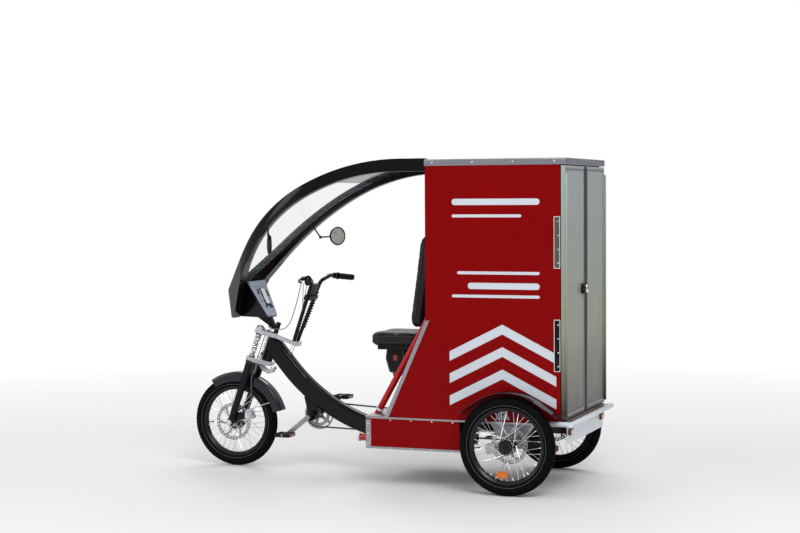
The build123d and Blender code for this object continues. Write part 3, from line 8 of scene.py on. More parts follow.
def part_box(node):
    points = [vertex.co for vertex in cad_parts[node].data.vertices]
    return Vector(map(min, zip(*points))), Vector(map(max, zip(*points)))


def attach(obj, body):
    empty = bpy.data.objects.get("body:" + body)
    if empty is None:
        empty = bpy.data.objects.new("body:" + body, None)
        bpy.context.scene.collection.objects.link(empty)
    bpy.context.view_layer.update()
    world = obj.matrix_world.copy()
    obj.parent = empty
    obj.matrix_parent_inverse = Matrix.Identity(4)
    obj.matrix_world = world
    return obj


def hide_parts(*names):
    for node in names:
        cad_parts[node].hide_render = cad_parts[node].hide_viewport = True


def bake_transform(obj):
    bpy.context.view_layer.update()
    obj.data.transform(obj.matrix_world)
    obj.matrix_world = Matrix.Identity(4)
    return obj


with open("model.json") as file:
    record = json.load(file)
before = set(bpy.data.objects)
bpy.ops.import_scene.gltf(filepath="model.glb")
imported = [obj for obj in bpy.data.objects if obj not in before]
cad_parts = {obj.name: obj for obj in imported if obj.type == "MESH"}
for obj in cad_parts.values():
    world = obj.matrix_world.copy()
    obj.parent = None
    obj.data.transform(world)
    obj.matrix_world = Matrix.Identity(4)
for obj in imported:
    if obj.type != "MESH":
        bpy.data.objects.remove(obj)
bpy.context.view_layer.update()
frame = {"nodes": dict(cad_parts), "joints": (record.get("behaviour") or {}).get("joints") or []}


def middleOf(node):
    low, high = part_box(node)
    return (low + high) / 2


# Stations on the bike, read from the frame, in metres
rearAxle = Vector((middleOf("rear_left_wheel").x, 0, middleOf("rear_left_wheel").z))
frontAxle = middleOf("front_tyre")
joints = {joint["name"]: joint for joint in frame["joints"]}
steerFoot = Vector(joints["steering_turn"]["pos_m"])
steerUp = Vector(joints["steering_turn"]["axis"]).normalized()
steerBack = Vector((-steerUp.z, 0, steerUp.x))
crankAxle = Vector(joints["crank_spin"]["pos_m"])
print("frame loaded,", len(frame["nodes"]), "nodes")


# Shapes are (points, faces) pairs, made along their own axes and then placed by a matrix
def merge(*shapes):
    points = []
    faces = []
    for shapePoints, shapeFaces in shapes:
        start = len(points)
        points += shapePoints
        faces += [tuple(start + i for i in face) for face in shapeFaces]
    return points, faces


def placed(shape, matrix):
    return [matrix @ Vector(p) for p in shape[0]], shape[1]


def repeated(shape, matrices):
    return merge(*[placed(shape, matrix) for matrix in matrices])


def mirrored(shape):
    points = [Vector((p[0], -p[1], p[2])) for p in shape[0]]
    return points, [tuple(reversed(face)) for face in shape[1]]


def bothSides(shape):
    return merge(shape, mirrored(shape))


def shift(x, y, z):
    return Matrix.Translation((x, y, z))


def turn(angle, axis):
    return Matrix.Rotation(radians(angle), 4, axis)


def facing(origin, direction, up=(0, 0, 1)):  # local Z goes to the direction, local X to its left
    normal = Vector(direction).normalized()
    side = Vector(up).cross(normal)
    if side.length < 1e-4:
        side = Vector((0, 1, 0)).cross(normal)
    side.normalize()
    return shift(*origin) @ Matrix((side, normal.cross(side), normal)).transposed().to_4x4()


def steered(height, back=0.0, across=0.0):  # frame on the steering axis, local X back, local Z up it
    origin = steerFoot + steerUp * height + steerBack * back + Vector((0, across, 0))
    side = steerUp.cross(steerBack)
    return shift(*origin) @ Matrix((steerBack, side, steerUp)).transposed().to_4x4()


def lathe(profile, steps=48, closed=False):  # profile of (radius, height), turned about local Z
    count = len(profile)
    points = []
    faces = []
    for ring in range(steps):
        angle = 2 * pi * ring / steps
        points += [Vector((r * cos(angle), r * sin(angle), z)) for r, z in profile]
        here = ring * count
        there = (ring + 1) % steps * count
        for i in range(count if closed else count - 1):
            j = (i + 1) % count
            faces.append((here + i, there + i, there + j, here + j))
    if not closed:
        for i in (0, count - 1):
            if profile[i][0] > 1e-5:
                loop = [ring * count + i for ring in range(steps)]
                faces.append(tuple(reversed(loop)) if i == 0 else tuple(loop))
    return points, faces


def roundRect(width, height, corner, steps=5):
    outline = []
    for cx, cy, start in ((1, 1, 0), (-1, 1, 90), (-1, -1, 180), (1, -1, 270)):
        for i in range(steps + 1):
            angle = radians(start + 90 * i / steps)
            x = cx * (width / 2 - corner) + corner * cos(angle)
            y = cy * (height / 2 - corner) + corner * sin(angle)
            outline.append((x, y))
    return outline


def circle(radius, steps=24):
    turns = [2 * pi * i / steps for i in range(steps)]
    return [(radius * cos(angle), radius * sin(angle)) for angle in turns]


def arcLine(x, y, radius, start, end, steps):
    angles = [radians(start + (end - start) * i / steps) for i in range(steps + 1)]
    return [(x + radius * cos(a), y + radius * sin(a)) for a in angles]


def grown(outline, amount):  # moves each side of a counter-clockwise outline outward
    count = len(outline)
    result = []
    for i, (x, y) in enumerate(outline):
        before = Vector(outline[i - 1])
        here = Vector((x, y))
        after = Vector(outline[(i + 1) % count])
        first = (here - before).normalized()
        second = (after - here).normalized()
        normal = Vector((first.y + second.y, -first.x - second.x))
        if normal.length < 1e-6:
            normal = Vector((first.y, -first.x))
        normal.normalize()
        stretch = max(0.35, normal.dot(Vector((first.y, -first.x))))
        result.append(tuple(here + normal * (amount / stretch)))
    return result


def slab(outline, thickness, edge=0.001, rings=2):  # outline in local XY, rising from Z 0, with rounded rims
    levels = []
    for i in range(rings + 1):
        angle = pi / 2 * i / rings
        levels.append((-edge * (1 - sin(angle)), edge * (1 - cos(angle))))
    levels += [(inset, thickness - z) for inset, z in reversed(levels)]
    points = []
    for inset, z in levels:
        points += [Vector((x, y, z)) for x, y in grown(outline, inset)]
    count = len(outline)
    faces = [tuple(reversed(range(count)))]
    for level in range(len(levels) - 1):
        a = level * count
        b = a + count
        faces += [(a + i, a + (i + 1) % count, b + (i + 1) % count, b + i) for i in range(count)]
    faces.append(tuple(range(len(points) - count, len(points))))
    return points, faces


def plateRing(outer, inner, thickness):  # two outlines with the same number of points
    count = len(outer)
    points = []
    for z in (0, thickness):
        points += [Vector((x, y, z)) for x, y in outer]
        points += [Vector((x, y, z)) for x, y in inner]
    faces = []
    for i in range(count):
        j = (i + 1) % count
        faces.append((i, count + i, count + j, j))
        faces.append((2 * count + i, 2 * count + j, 3 * count + j, 3 * count + i))
        faces.append((i, j, 2 * count + j, 2 * count + i))
        faces.append((count + i, 3 * count + i, 3 * count + j, count + j))
    return points, faces


def tube(path, radius, sides=12, closed=False):  # radius is one number or one for each point
    path = [Vector(p) for p in path]
    count = len(path)
    radii = radius if isinstance(radius, (list, tuple)) else [radius] * count
    points = []
    faces = []
    normal = None
    for i, here in enumerate(path):
        before = path[i - 1] if closed or i else here
        after = path[(i + 1) % count] if closed or i < count - 1 else here
        along = (after - before).normalized()
        if normal is None:
            normal = along.orthogonal().normalized()
        normal = (normal - along * normal.dot(along)).normalized()
        side = along.cross(normal)
        for k in range(sides):
            angle = 2 * pi * k / sides
            points.append(here + (normal * cos(angle) + side * sin(angle)) * radii[i])
    for i in range(count if closed else count - 1):
        a = i * sides
        b = (i + 1) % count * sides
        faces += [(a + k, a + (k + 1) % sides, b + (k + 1) % sides, b + k) for k in range(sides)]
    if not closed:
        faces.append(tuple(reversed(range(sides))))
        faces.append(tuple(range(len(points) - sides, len(points))))
    return points, faces


def easedLine(points, steps=8):  # smooth line through the points
    points = [Vector(p) for p in points]
    line = []
    for i in range(len(points) - 1):
        p0 = points[max(i - 1, 0)]
        p1, p2 = points[i], points[i + 1]
        p3 = points[min(i + 2, len(points) - 1)]
        for k in range(steps):
            t = k / steps
            line.append(
                0.5 * (2 * p1 + (p2 - p0) * t + (2 * p0 - 5 * p1 + 4 * p2 - p3) * t * t
                + (3 * p1 - p0 - 3 * p2 + p3) * t * t * t)
            )
    return line + [points[-1]]


def domeHead(radius):  # rivet or button head that stands on local XY
    height = radius * 0.55
    angles = [radians(90 * i / 5) for i in range(5)]
    return lathe([(radius * cos(a), height * sin(a)) for a in angles] + [(1e-6, height)], 14)


def hexHead(across, height):  # bolt head on a washer
    washer = lathe([(across * 0.72, 0), (across * 0.72, height * 0.22), (across * 0.3, height * 0.24)], 20)
    head = placed(slab(circle(across / 2, 6), height, across * 0.05, 1), shift(0, 0, height * 0.2))
    return merge(washer, head)


def socketHead(radius, height):  # cap screw with its hexagon socket
    return lathe([
        (radius * 0.96, 0), (radius, height * 0.1), (radius, height * 0.85), (radius * 0.9, height),
        (radius * 0.55, height), (radius * 0.5, height * 0.5), (1e-6, height * 0.5),
    ], 18)


def plate(width, height, corner, thickness, edge, at=Matrix(), rings=2):  # rounded rectangle on its frame
    return placed(slab(roundRect(width, height, corner), thickness, edge, rings), at)


def piece(name, shapes, body, replaces=(), smooth=38):
    # shapes is a list of (shape, finish) pairs, joined into one mesh
    mesh = bpy.data.meshes.new(name)
    points, faces = merge(*[shape for shape, finish in shapes])
    mesh.from_pydata([tuple(p) for p in points], [], faces)
    finishes = []
    indices = []
    for shape, finish in shapes:
        if finish not in finishes:
            finishes.append(finish)
        indices += [finishes.index(finish)] * len(shape[1])
    for finish in finishes:
        mesh.materials.append(finish)
    mesh.polygons.foreach_set("material_index", indices)
    mesh.shade_smooth()
    mesh.set_sharp_from_angle(angle=radians(smooth))
    mesh.validate()
    made = bpy.data.objects.new(name, mesh)
    scene.collection.objects.link(made)
    if body:
        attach(made, body)
    if replaces:
        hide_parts(*replaces)
    return made


scene = bpy.context.scene
scene.view_settings.view_transform = "Standard"

# Camera at the photograph's place, with its turn, tilt and roll
photoView = {
    "place": (-3.51406, 9.04540, 1.59077),
    "heading": 20.757,
    "tilt": 2.363,
    "roll": -0.3295,
    "lens": 76.28,
}
yaw, pitch, roll = (radians(photoView[key]) for key in ("heading", "tilt", "roll"))
lookAlong = Vector((sin(yaw) * cos(pitch), -cos(yaw) * cos(pitch), -sin(pitch)))
level = lookAlong.cross(Vector((0, 0, 1))).normalized()
upright = level.cross(lookAlong)
cameraRight = level * cos(roll) + upright * sin(roll)
cameraUp = upright * cos(roll) - level * sin(roll)
cameraData = bpy.data.cameras.new("photoCamera")
cameraData.lens = photoView["lens"]
cameraData.sensor_width = 36
cameraData.clip_end = 200
camera = bpy.data.objects.new("photoCamera", cameraData)
camera.matrix_world = (
    shift(*photoView["place"]) @ Matrix((cameraRight, cameraUp, -lookAlong)).transposed().to_4x4()
)
scene.collection.objects.link(camera)
scene.camera = camera


# Finishes
def newFinish(name):
    made = bpy.data.materials.new(name)
    made.use_nodes = True
    tree = made.node_tree
    return made, tree, tree.nodes["Principled BSDF"]


def fill(tree, node, values):  # sets or links a node's inputs
    for key, value in values.items():
        if isinstance(value, bpy.types.NodeSocket):
            tree.links.new(value, node.inputs[key])
        else:
            node.inputs[key].default_value = value
    return node


def added(tree, kind, values=None, **settings):
    node = tree.nodes.new("ShaderNode" + kind)
    for key, value in settings.items():
        setattr(node, key, value)
    return fill(tree, node, values or {})


def placeNoise(tree, scale, detail, stretch=(1, 1, 1), roughness=0.5):
    where = added(tree, "TexCoord").outputs["Object"]
    mapping = added(tree, "Mapping", {"Scale": stretch, "Vector": where})
    values = {"Scale": scale, "Detail": detail, "Roughness": roughness, "Vector": mapping.outputs["Vector"]}
    return added(tree, "TexNoise", values).outputs["Fac"]


def ranged(tree, source, low, high, fromLow=0.3, fromHigh=0.7):
    values = {"Value": source, "From Min": fromLow, "From Max": fromHigh, "To Min": low, "To Max": high}
    return added(tree, "MapRange", values).outputs["Result"]


def blended(tree, share, first, second):
    tones = [(*tone, 1) if isinstance(tone, tuple) else tone for tone in (first, second)]
    return added(tree, "Mix", {"Factor": share, 6: tones[0], 7: tones[1]}, data_type="RGBA").outputs[2]


def bumped(tree, height, strength):
    values = {"Strength": strength, "Distance": 0.001, "Height": height}
    return added(tree, "Bump", values).outputs["Normal"]


def heightIn(tree, output):
    where = added(tree, "TexCoord").outputs[output]
    return added(tree, "SeparateXYZ", {0: where}).outputs["Z"]


def scaled(color, factor):
    return tuple(min(1.0, channel * factor) for channel in color)


def finish(name, color, rough, spread=0.05, metal=0.0, coat=0.0, cloud=0.08, cloudScale=3.0,
           grain=0.1, grainScale=500.0, stretch=(1, 1, 1), gloss=0.5):
    # One finish: a cloudy colour, uneven roughness and a fine grain
    made, tree, shader = newFinish(name)
    clouds = ranged(tree, placeNoise(tree, cloudScale, 4), 0, 1)
    wear = placeNoise(tree, cloudScale * 9, 5, stretch, 0.65)
    fill(tree, shader, {
        "Base Color": blended(tree, clouds, scaled(color, 1 - cloud), scaled(color, 1 + cloud)),
        "Roughness": ranged(tree, wear, rough - spread, rough + spread),
        "Metallic": metal,
        "Specular IOR Level": gloss,
        "Coat Weight": coat,
        "Coat Roughness": 0.06,
        "Normal": bumped(tree, placeNoise(tree, grainScale, 2, stretch), grain),
    })
    return made


def glassFinish(name, color, rough, cover):  # a thin sheet: cover is the share of light that it stops
    made, tree, shader = newFinish(name)
    smears = placeNoise(tree, 6, 5, (1, 3, 1), 0.6)
    fill(tree, shader, {
        "Base Color": (*color, 1),
        "Roughness": ranged(tree, smears, rough, rough * 3),
        "Alpha": cover,
    })
    return made


def paint(name, material):
    node = frame["nodes"][name]
    node.data.materials.clear()
    node.data.materials.append(material)


redPaint = finish("redPaint", (0.205, 0.0010, 0.0016), 0.30, 0.05, cloud=0.04, grain=0.05,
                  grainScale=260, gloss=0.06)
redTubePaint = finish("redTubePaint", (0.42, 0.005, 0.007), 0.28, coat=0.2, grain=0.04, gloss=0.3)
blackPaint = finish("blackPaint", (0.0025, 0.0025, 0.003), 0.20, 0.05, cloud=0.2, grain=0.03,
                    grainScale=220, gloss=0.22)
beamPaint = finish("beamPaint", (0.0018, 0.0018, 0.0022), 0.18, 0.04, coat=0.08, cloud=0.2, grain=0.02,
                   grainScale=220, gloss=0.18)
blackGloss = finish("blackGloss", (0.0025, 0.0025, 0.0035), 0.17, 0.04, cloud=0.2, grain=0.02,
                    grainScale=90, gloss=0.22)
blackPlastic = finish("blackPlastic", (0.005, 0.005, 0.0055), 0.48, 0.08, cloud=0.2, grain=0.35,
                      grainScale=900, gloss=0.22)
# Mudguard black: its faint blue tint is a painted reflection of a blue sky
guardBlackPaintedSkyTint = finish("guardBlackPaintedSkyTint", (0.004, 0.006, 0.011), 0.16, 0.04, coat=0.1, cloud=0.2, grain=0.03,
                    gloss=0.35)
rimBlack = finish("rimBlack", (0.003, 0.003, 0.004), 0.24, 0.05, cloud=0.1, grain=0.03, gloss=0.35)
rubber = finish("rubber", (0.0030, 0.0030, 0.0034), 0.60, 0.10, cloud=0.25, cloudScale=12, grain=0.4,
                grainScale=1500, gloss=0.05)
whitePaint = finish("whitePaint", (0.66, 0.69, 0.74), 0.32, 0.06, cloud=0.04, grain=0.05, gloss=0.4)
whiteFilm = finish("whiteFilm", (0.56, 0.60, 0.66), 0.34, 0.04, cloud=0.03, grain=0.04, gloss=0.2)
aluminium = finish("aluminium", (0.36, 0.36, 0.39), 0.38, 0.10, metal=1.0, cloud=0.10, grain=0.12,
                   grainScale=300, stretch=(0.08, 1, 1))
castAluminium = finish("castAluminium", (0.50, 0.51, 0.54), 0.36, 0.08, metal=1.0, cloud=0.12,
                       grain=0.3, grainScale=700)
sheetGrey = finish("sheetGrey", (0.30, 0.31, 0.34), 0.42, 0.08, metal=0.9, cloud=0.08, grain=0.1,
                   grainScale=300, stretch=(0.06, 1, 1))
chrome = finish("chrome", (0.80, 0.81, 0.83), 0.12, 0.05, metal=1.0, cloud=0.05, grain=0.02)
steel = finish("steel", (0.36, 0.36, 0.37), 0.34, 0.10, metal=1.0, cloud=0.15, grain=0.15, grainScale=900)
darkSteel = finish("darkSteel", (0.08, 0.08, 0.085), 0.38, 0.10, metal=0.9, cloud=0.2, grain=0.2,
                   grainScale=700)
boltZinc = finish("boltZinc", (0.66, 0.67, 0.70), 0.28, 0.08, metal=1.0, cloud=0.1, grain=0.05)
consolePaint = finish("consolePaint", (0.33, 0.39, 0.49), 0.40, 0.06, cloud=0.04, grain=0.15,
                      grainScale=800, gloss=0.3)
vinyl = finish("vinyl", (0.006, 0.006, 0.007), 0.42, 0.08, cloud=0.2, grain=0.6, grainScale=420, gloss=0.3)
floorBoard = finish("floorBoard", (0.10, 0.065, 0.040), 0.45, 0.08, cloud=0.3, grain=0.5,
                    grainScale=260, stretch=(0.3, 1, 1))
innerLining = finish("innerLining", (0.55, 0.56, 0.57), 0.50, 0.08, cloud=0.05, grain=0.1, gloss=0.3)
hoseGrey = finish("hoseGrey", (0.16, 0.17, 0.19), 0.42, 0.06, cloud=0.1, grain=0.2, grainScale=1500,
                  gloss=0.3)
clearSheet = glassFinish("clearSheet", (0.70, 0.78, 0.84), 0.03, 0.12)
tintedSheet = glassFinish("tintedSheet", (0.045, 0.045, 0.055), 0.05, 0.58)

nodeFinish = {
    redPaint: ["side_panel_left", "side_panel_right", "front_wall", "skirts"],
    redTubePaint: ["red_tubes"],
    beamPaint: ["main_beam"],
    blackPaint: ["head_spindle", "chassis_rails", "rear_axle", "seat_frame", "back_brackets",
                 "handlebar", "fork_legs"],
    blackGloss: ["canopy_arch_left", "canopy_arch_right", "nose_pod"],
    guardBlackPaintedSkyTint: ["front_mudguard", "rear_mudguards"],
    blackPlastic: ["battery_unit", "pedal_left", "pedal_right", "mirrors", "grips", "brake_levers",
                   "handlebar_display"],
    aluminium: ["base_frame", "skirt_rails", "deck_plate", "roof_cap", "edge_trims"],
    castAluminium: ["upper_crown", "lower_crown", "front_caliper", "rear_calipers"],
    sheetGrey: ["cargo_roof", "axle_hangers"],
    whitePaint: ["bumper", "tail_plate", "tube_rings"],
    hoseGrey: ["brake_hose"],
    floorBoard: ["cargo_floor"],
    innerLining: ["door_left", "door_right"],
    chrome: ["fork_springs", "door_latch"],
    steel: ["chain", "crank_set"],
    darkSteel: ["hinge_leaves"],
    consolePaint: ["console", "tail_lamps"],
    vinyl: ["seat_cushion", "backrest"],
    clearSheet: ["windshield"],
    tintedSheet: ["canopy_roof"],
    rubber: ["front_tyre", "rear_left_tyre", "rear_right_tyre"],
    rimBlack: ["front_wheel", "rear_left_wheel", "rear_right_wheel"],
}
for material, names in nodeFinish.items():
    for name in names:
        paint(name, material)
print("finishes ready,", len(bpy.data.materials))

# Floor, lights and a pale background
studio = {
    "floorTone": 0.80,
    "fadeFrom": 2.2,
    "fadeTo": 6.5,
    "skyStrength": 0.75,
    "keyPower": 260,
    "fillPower": 90,
    "rimPower": 120,
}


def lamp(name, place, target, size, power):
    data = bpy.data.lights.new(name, "AREA")
    data.shape = "RECTANGLE"
    data.size, data.size_y = size
    data.energy = power
    made = bpy.data.objects.new(name, data)
    made.matrix_world = facing(place, Vector(place) - Vector(target))
    scene.collection.objects.link(made)


def seenDirectly(tree):  # 1 for rays from the camera, also through glass
    rays = added(tree, "LightPath").outputs
    values = {0: rays["Is Camera Ray"], 1: rays["Is Transmission Ray"]}
    return added(tree, "Math", values, operation="MAXIMUM").outputs[0]


lamp("keySoftbox", (-3.5, 5.0, 5.5), (0, 0, 0.9), (4.0, 3.0), studio["keyPower"])
lamp("fillSoftbox", (5.5, 5.0, 2.5), (0, 0, 0.8), (3.0, 3.0), studio["fillPower"])
lamp("backSoftbox", (2.0, -5.5, 5.0), (0, 0, 1.0), (4.0, 2.5), studio["rimPower"])

world = bpy.data.worlds.new("studioSky")
scene.world = world
world.use_nodes = True
tree = world.node_tree
tree.nodes.clear()
skyShare = ranged(tree, heightIn(tree, "Generated"), 0, 1, -0.1, 0.6)
skyTone = blended(tree, skyShare, (0.34, 0.35, 0.38), (1.0, 1.0, 1.0))
soft = added(tree, "Background", {"Color": skyTone, "Strength": studio["skyStrength"]})
plain = added(tree, "Background", {"Color": (1, 1, 1, 1), "Strength": 1})
sky = added(tree, "MixShader", {0: seenDirectly(tree), 1: soft.outputs[0], 2: plain.outputs[0]})
added(tree, "OutputWorld", {"Surface": sky.outputs[0]})

floorMesh = bpy.data.meshes.new("studioFloor")
floorMesh.from_pydata([(-60, -60, 0), (60, -60, 0), (60, 60, 0), (-60, 60, 0)], [], [(0, 1, 2, 3)])
floor = bpy.data.objects.new("studioFloor", floorMesh)
scene.collection.objects.link(floor)
floorFinish, tree, shader = newFinish("paleFloor")
fill(tree, shader, {"Base Color": (studio["floorTone"],) * 3 + (1,), "Roughness": 0.7})
where = added(tree, "TexCoord").outputs["Object"]
distance = added(tree, "VectorMath", {0: where}, operation="LENGTH").outputs["Value"]
fade = ranged(tree, distance, 0, 1, studio["fadeFrom"], studio["fadeTo"])
share = added(tree, "Math", {0: fade, 1: seenDirectly(tree)}, operation="MULTIPLY").outputs[0]
glow = added(tree, "Emission").outputs[0]
mixed = added(tree, "MixShader", {0: share, 1: shader.outputs[0], 2: glow})
tree.links.new(mixed.outputs[0], tree.nodes["Material Output"].inputs["Surface"])
floorMesh.materials.append(floorFinish)
print("camera, floor and lights placed")


# Wheels: tyre with raised tread, double-wall rim, laced spokes, hub and brake rotor
wheelParts = {
    "tyreRadius": (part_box("front_tyre")[1].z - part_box("front_tyre")[0].z) / 2,
    "tyreWidth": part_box("front_tyre")[1].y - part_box("front_tyre")[0].y,
    "grooveDepth": 0.0024,
    "treadPitches": 66,
    "rimOuter": 0.207,
    "rimInner": 0.186,
    "rimHalfWidth": 0.018,
    "hubHalfWidth": 0.032,
    "hubRadius": 0.026,
    "flangeRadius": 0.046,
    "spokes": 36,
    "spokeLead": 62,
    "spokeRadius": 0.0015,
    "rotorThickness": 0.0022,
    "rotorHoles": 30,
}
treadRibs = ((-60, -42), (-36, -16), (-10, 10), (16, 36), (42, 60))  # degrees round the section


def tyreShape(size):
    sectionRadius = size["tyreWidth"] / 2
    centre = size["tyreRadius"] - sectionRadius
    turns = [-150, -138, -124, -110, -96, -83, -71, -63]
    for low, high in treadRibs:
        turns += [low, low + 1.5, (low + high) / 2, high - 1.5, high]
    turns += [63, 71, 83, 96, 110, 124, 138, 150]
    stepsPerPitch = 6
    rings = size["treadPitches"] * stepsPerPitch
    points = []
    faces = []
    for ring in range(rings):
        angle = 2 * pi * ring / rings
        for phi in turns:
            lift = 0.0
            if abs(phi) < 62:
                lead = int(abs(phi) / 12)  # the cross cuts lead outward like an arrow
                inCut = (ring + lead) % stepsPerPitch in (0, 1)
                onRib = any(low + 1 < phi < high - 1 for low, high in treadRibs)
                lift = -size["grooveDepth"] if not onRib or (inCut and abs(phi) > 14) else 0.0
            r = centre + (sectionRadius + lift) * cos(radians(phi))
            y = (sectionRadius + lift) * sin(radians(phi))
            points.append(Vector((r * cos(angle), y, r * sin(angle))))
    count = len(turns)
    for ring in range(rings):
        a = ring * count
        b = (ring + 1) % rings * count
        faces += [(a + i, a + i + 1, b + i + 1, b + i) for i in range(count - 1)]
    return points, faces


def sideStripe(size, fromTurn, toTurn):  # a thin band moulded on each side wall
    sectionRadius = size["tyreWidth"] / 2 - 0.0001
    centre = size["tyreRadius"] - size["tyreWidth"] / 2
    profile = []
    for i in range(5):
        phi = radians(fromTurn + (toTurn - fromTurn) * i / 4)
        bulge = 0.0004 if 0 < i < 4 else -0.0006
        profile.append((centre + (sectionRadius + bulge) * cos(phi), (sectionRadius + bulge) * sin(phi)))
    return bothSides(placed(lathe(profile, 120, closed=True), turn(90, "X")))


def rimShape(size):
    outer, inner, half = size["rimOuter"], size["rimInner"], size["rimHalfWidth"]
    side = [
        (outer, half - 0.0015), (outer - 0.001, half), (outer - 0.005, half), (outer - 0.007, half - 0.002),
        (inner + 0.008, half - 0.004), (inner + 0.002, half * 0.5), (inner, half * 0.25),
    ]
    bed = [(outer - 0.006, half - 0.005), (outer - 0.001, half - 0.004)]
    profile = side + [(r, -y) for r, y in reversed(side)]
    profile += [(r, -y) for r, y in reversed(bed)] + bed
    return placed(lathe(profile, 144, closed=True), turn(90, "X"))


def spokeShapes(size):
    wires = []
    nipples = []
    hubY = size["hubHalfWidth"] - 0.0025
    footRadius = size["flangeRadius"] - 0.005
    for index in range(size["spokes"]):
        side = 1 if index % 2 else -1
        lead = size["spokeLead"] if index // 2 % 2 else -size["spokeLead"]
        angle = 2 * pi * index / size["spokes"]
        footAngle = angle + radians(lead)
        offset = 0.0028 if index // 2 % 2 else -0.0028  # heads alternate on the two faces of the flange
        foot = Vector((footRadius * cos(footAngle), side * (hubY + offset), footRadius * sin(footAngle)))
        head = foot - Vector((0, side * offset * 2, 0))
        tip = Vector((size["rimInner"] * cos(angle), side * 0.004, size["rimInner"] * sin(angle)))
        along = (tip - foot).normalized()
        step = Vector((0, side * offset * 0.3, 0))
        wire = [head, foot - step, foot + along * 0.002, tip - along * 0.012]
        nipple = [tip - along * 0.014, tip - along * 0.012, tip + along * 0.003]
        wires.append(tube(wire, size["spokeRadius"], 7))
        wires.append(tube([head - step, head], [0.0024, 0.0018], 8))
        nipples.append(tube(nipple, [0.0017, 0.0023, 0.0023], 8))
    return merge(*wires), merge(*nipples)


def hubShape(size):
    half, radius, flange = size["hubHalfWidth"], size["hubRadius"], size["flangeRadius"]
    side = [
        (0.0105, half + 0.0045), (0.0165, half + 0.0045), (0.019, half + 0.001),
        (flange - 0.002, half), (flange, half - 0.0015), (flange, half - 0.0045),
        (flange - 0.002, half - 0.005), (radius + 0.003, half - 0.008), (radius, half - 0.014),
    ]
    profile = side + [(r, -y) for r, y in reversed(side)]
    return placed(lathe(profile, 60), turn(90, "X"))


def pierced(inner, outer, thickness, count, holeRadius):
    # ring with round holes, made of one cell for each hole
    sides = 12
    middle = (inner + outer) / 2
    points = []
    faces = []
    for cell in range(count):
        start = len(points)
        base = 2 * pi * cell / count
        half = pi / count
        rimPoints = []
        for i in range(sides):
            corner = i // 3
            share = i % 3 / 3
            corners = [(-1, inner), (1, inner), (1, outer), (-1, outer), (-1, inner)]
            (a0, r0), (a1, r1) = corners[corner], corners[corner + 1]
            rimPoints.append((base + half * (a0 + (a1 - a0) * share), r0 + (r1 - r0) * share))
        holePoints = []
        for i in range(sides):
            angle = radians(225 + 30 * i)
            holePoints.append((middle + holeRadius * sin(angle), holeRadius * cos(angle)))
        for z in (-thickness / 2, thickness / 2):
            points += [Vector((r * cos(a), r * sin(a), z)) for a, r in rimPoints]
            for radial, tangent in holePoints:
                x = radial * cos(base) - tangent * sin(base)
                y = radial * sin(base) + tangent * cos(base)
                points.append(Vector((x, y, z)))
        for i in range(sides):
            j = (i + 1) % sides
            r0, h0, r1, h1 = start, start + sides, start + 2 * sides, start + 3 * sides
            faces.append((r0 + j, r0 + i, h0 + i, h0 + j))
            faces.append((r1 + i, r1 + j, h1 + j, h1 + i))
            faces.append((h0 + i, h1 + i, h1 + j, h0 + j))
            if i // 3 in (0, 2):
                faces.append((r0 + i, r0 + j, r1 + j, r1 + i))
    return points, faces


def rotorShape(size, radius):
    thickness = size["rotorThickness"]
    band = pierced(radius - 0.019, radius, thickness, size["rotorHoles"], 0.0042)
    path = [(0.026, 0.0), (0.042, 0.010), (0.060, 0.011), (radius - 0.017, 0.0)]
    wide = [0.0075, 0.0055, 0.0055, 0.009]
    left = [(x, y + w) for (x, y), w in zip(path, wide)]
    right = [(x, y - w) for (x, y), w in zip(path, wide)]
    arm = slab(right + left[::-1], thickness, 0.0003, 1)
    arms = repeated(arm, [turn(60 * i, "Z") @ shift(0, 0, -thickness / 2) for i in range(6)])
    carrier = placed(plateRing(circle(0.029, 48), circle(0.012, 48), 0.003), shift(0, 0, -0.0015))
    boltAt = [turn(60 * i + 30, "Z") @ shift(0.022, 0, 0.0015) for i in range(6)]
    return merge(band, carrier, arms), repeated(socketHead(0.0035, 0.002), boltAt)


stripeGrey = finish("stripeGrey", (0.12, 0.12, 0.125), 0.5, cloud=0.1, grain=0.1)
rotorSteel = finish("rotorSteel", (0.33, 0.32, 0.31), 0.36, 0.10, metal=1.0, cloud=0.25, cloudScale=20,
                    grain=0.2, grainScale=1200)


def wheel(prefix, body, rotorSide, rotorRadius):
    size = wheelParts
    at = shift(*middleOf(prefix + "_tyre"))
    piece(prefix + "Tyre", [
        (placed(tyreShape(size), at), rubber),
        (placed(sideStripe(size, 117, 121), at), stripeGrey),
    ], body, [prefix + "_tyre"])
    wires, nipples = spokeShapes(size)
    piece(prefix + "Spokes", [(placed(wires, at), chrome), (placed(nipples, at), boltZinc)], body)
    valvePath = [(size["rimInner"] + x, 0, 0) for x in (0.002, -0.022, -0.024, -0.034)]
    valve = tube(valvePath, [0.0028, 0.0028, 0.0036, 0.0034], 12)
    rotor, bolts = rotorShape(size, rotorRadius)
    rotorAt = at @ turn(-90 * rotorSide, "X") @ shift(0, 0, size["hubHalfWidth"] + 0.009)
    spacer = lathe([(0.020, -0.0095), (0.020, 0.0), (0.013, 0.0), (0.013, -0.0095)], 40, closed=True)
    piece(prefix + "Rim", [
        (placed(rimShape(size), at), rimBlack),
        (placed(hubShape(size), at), rimBlack),
        (placed(spacer, rotorAt), rimBlack),
        (placed(valve, at @ turn(5, "Y")), rubber),
    ], body, [prefix + "_wheel"])
    piece(prefix + "Rotor", [(placed(rotor, rotorAt), rotorSteel), (placed(bolts, rotorAt), boltZinc)],
          body)


wheel("front", "wheel_front", 1, 0.110)
wheel("rear_left", "wheel_left", -1, 0.100)
wheel("rear_right", "wheel_right", 1, 0.100)


def spot(x, y, z):  # place given in mm from the rear axle, as on the part's drawing
    return Vector((rearAxle.x + x / 1000, y / 1000, z / 1000))


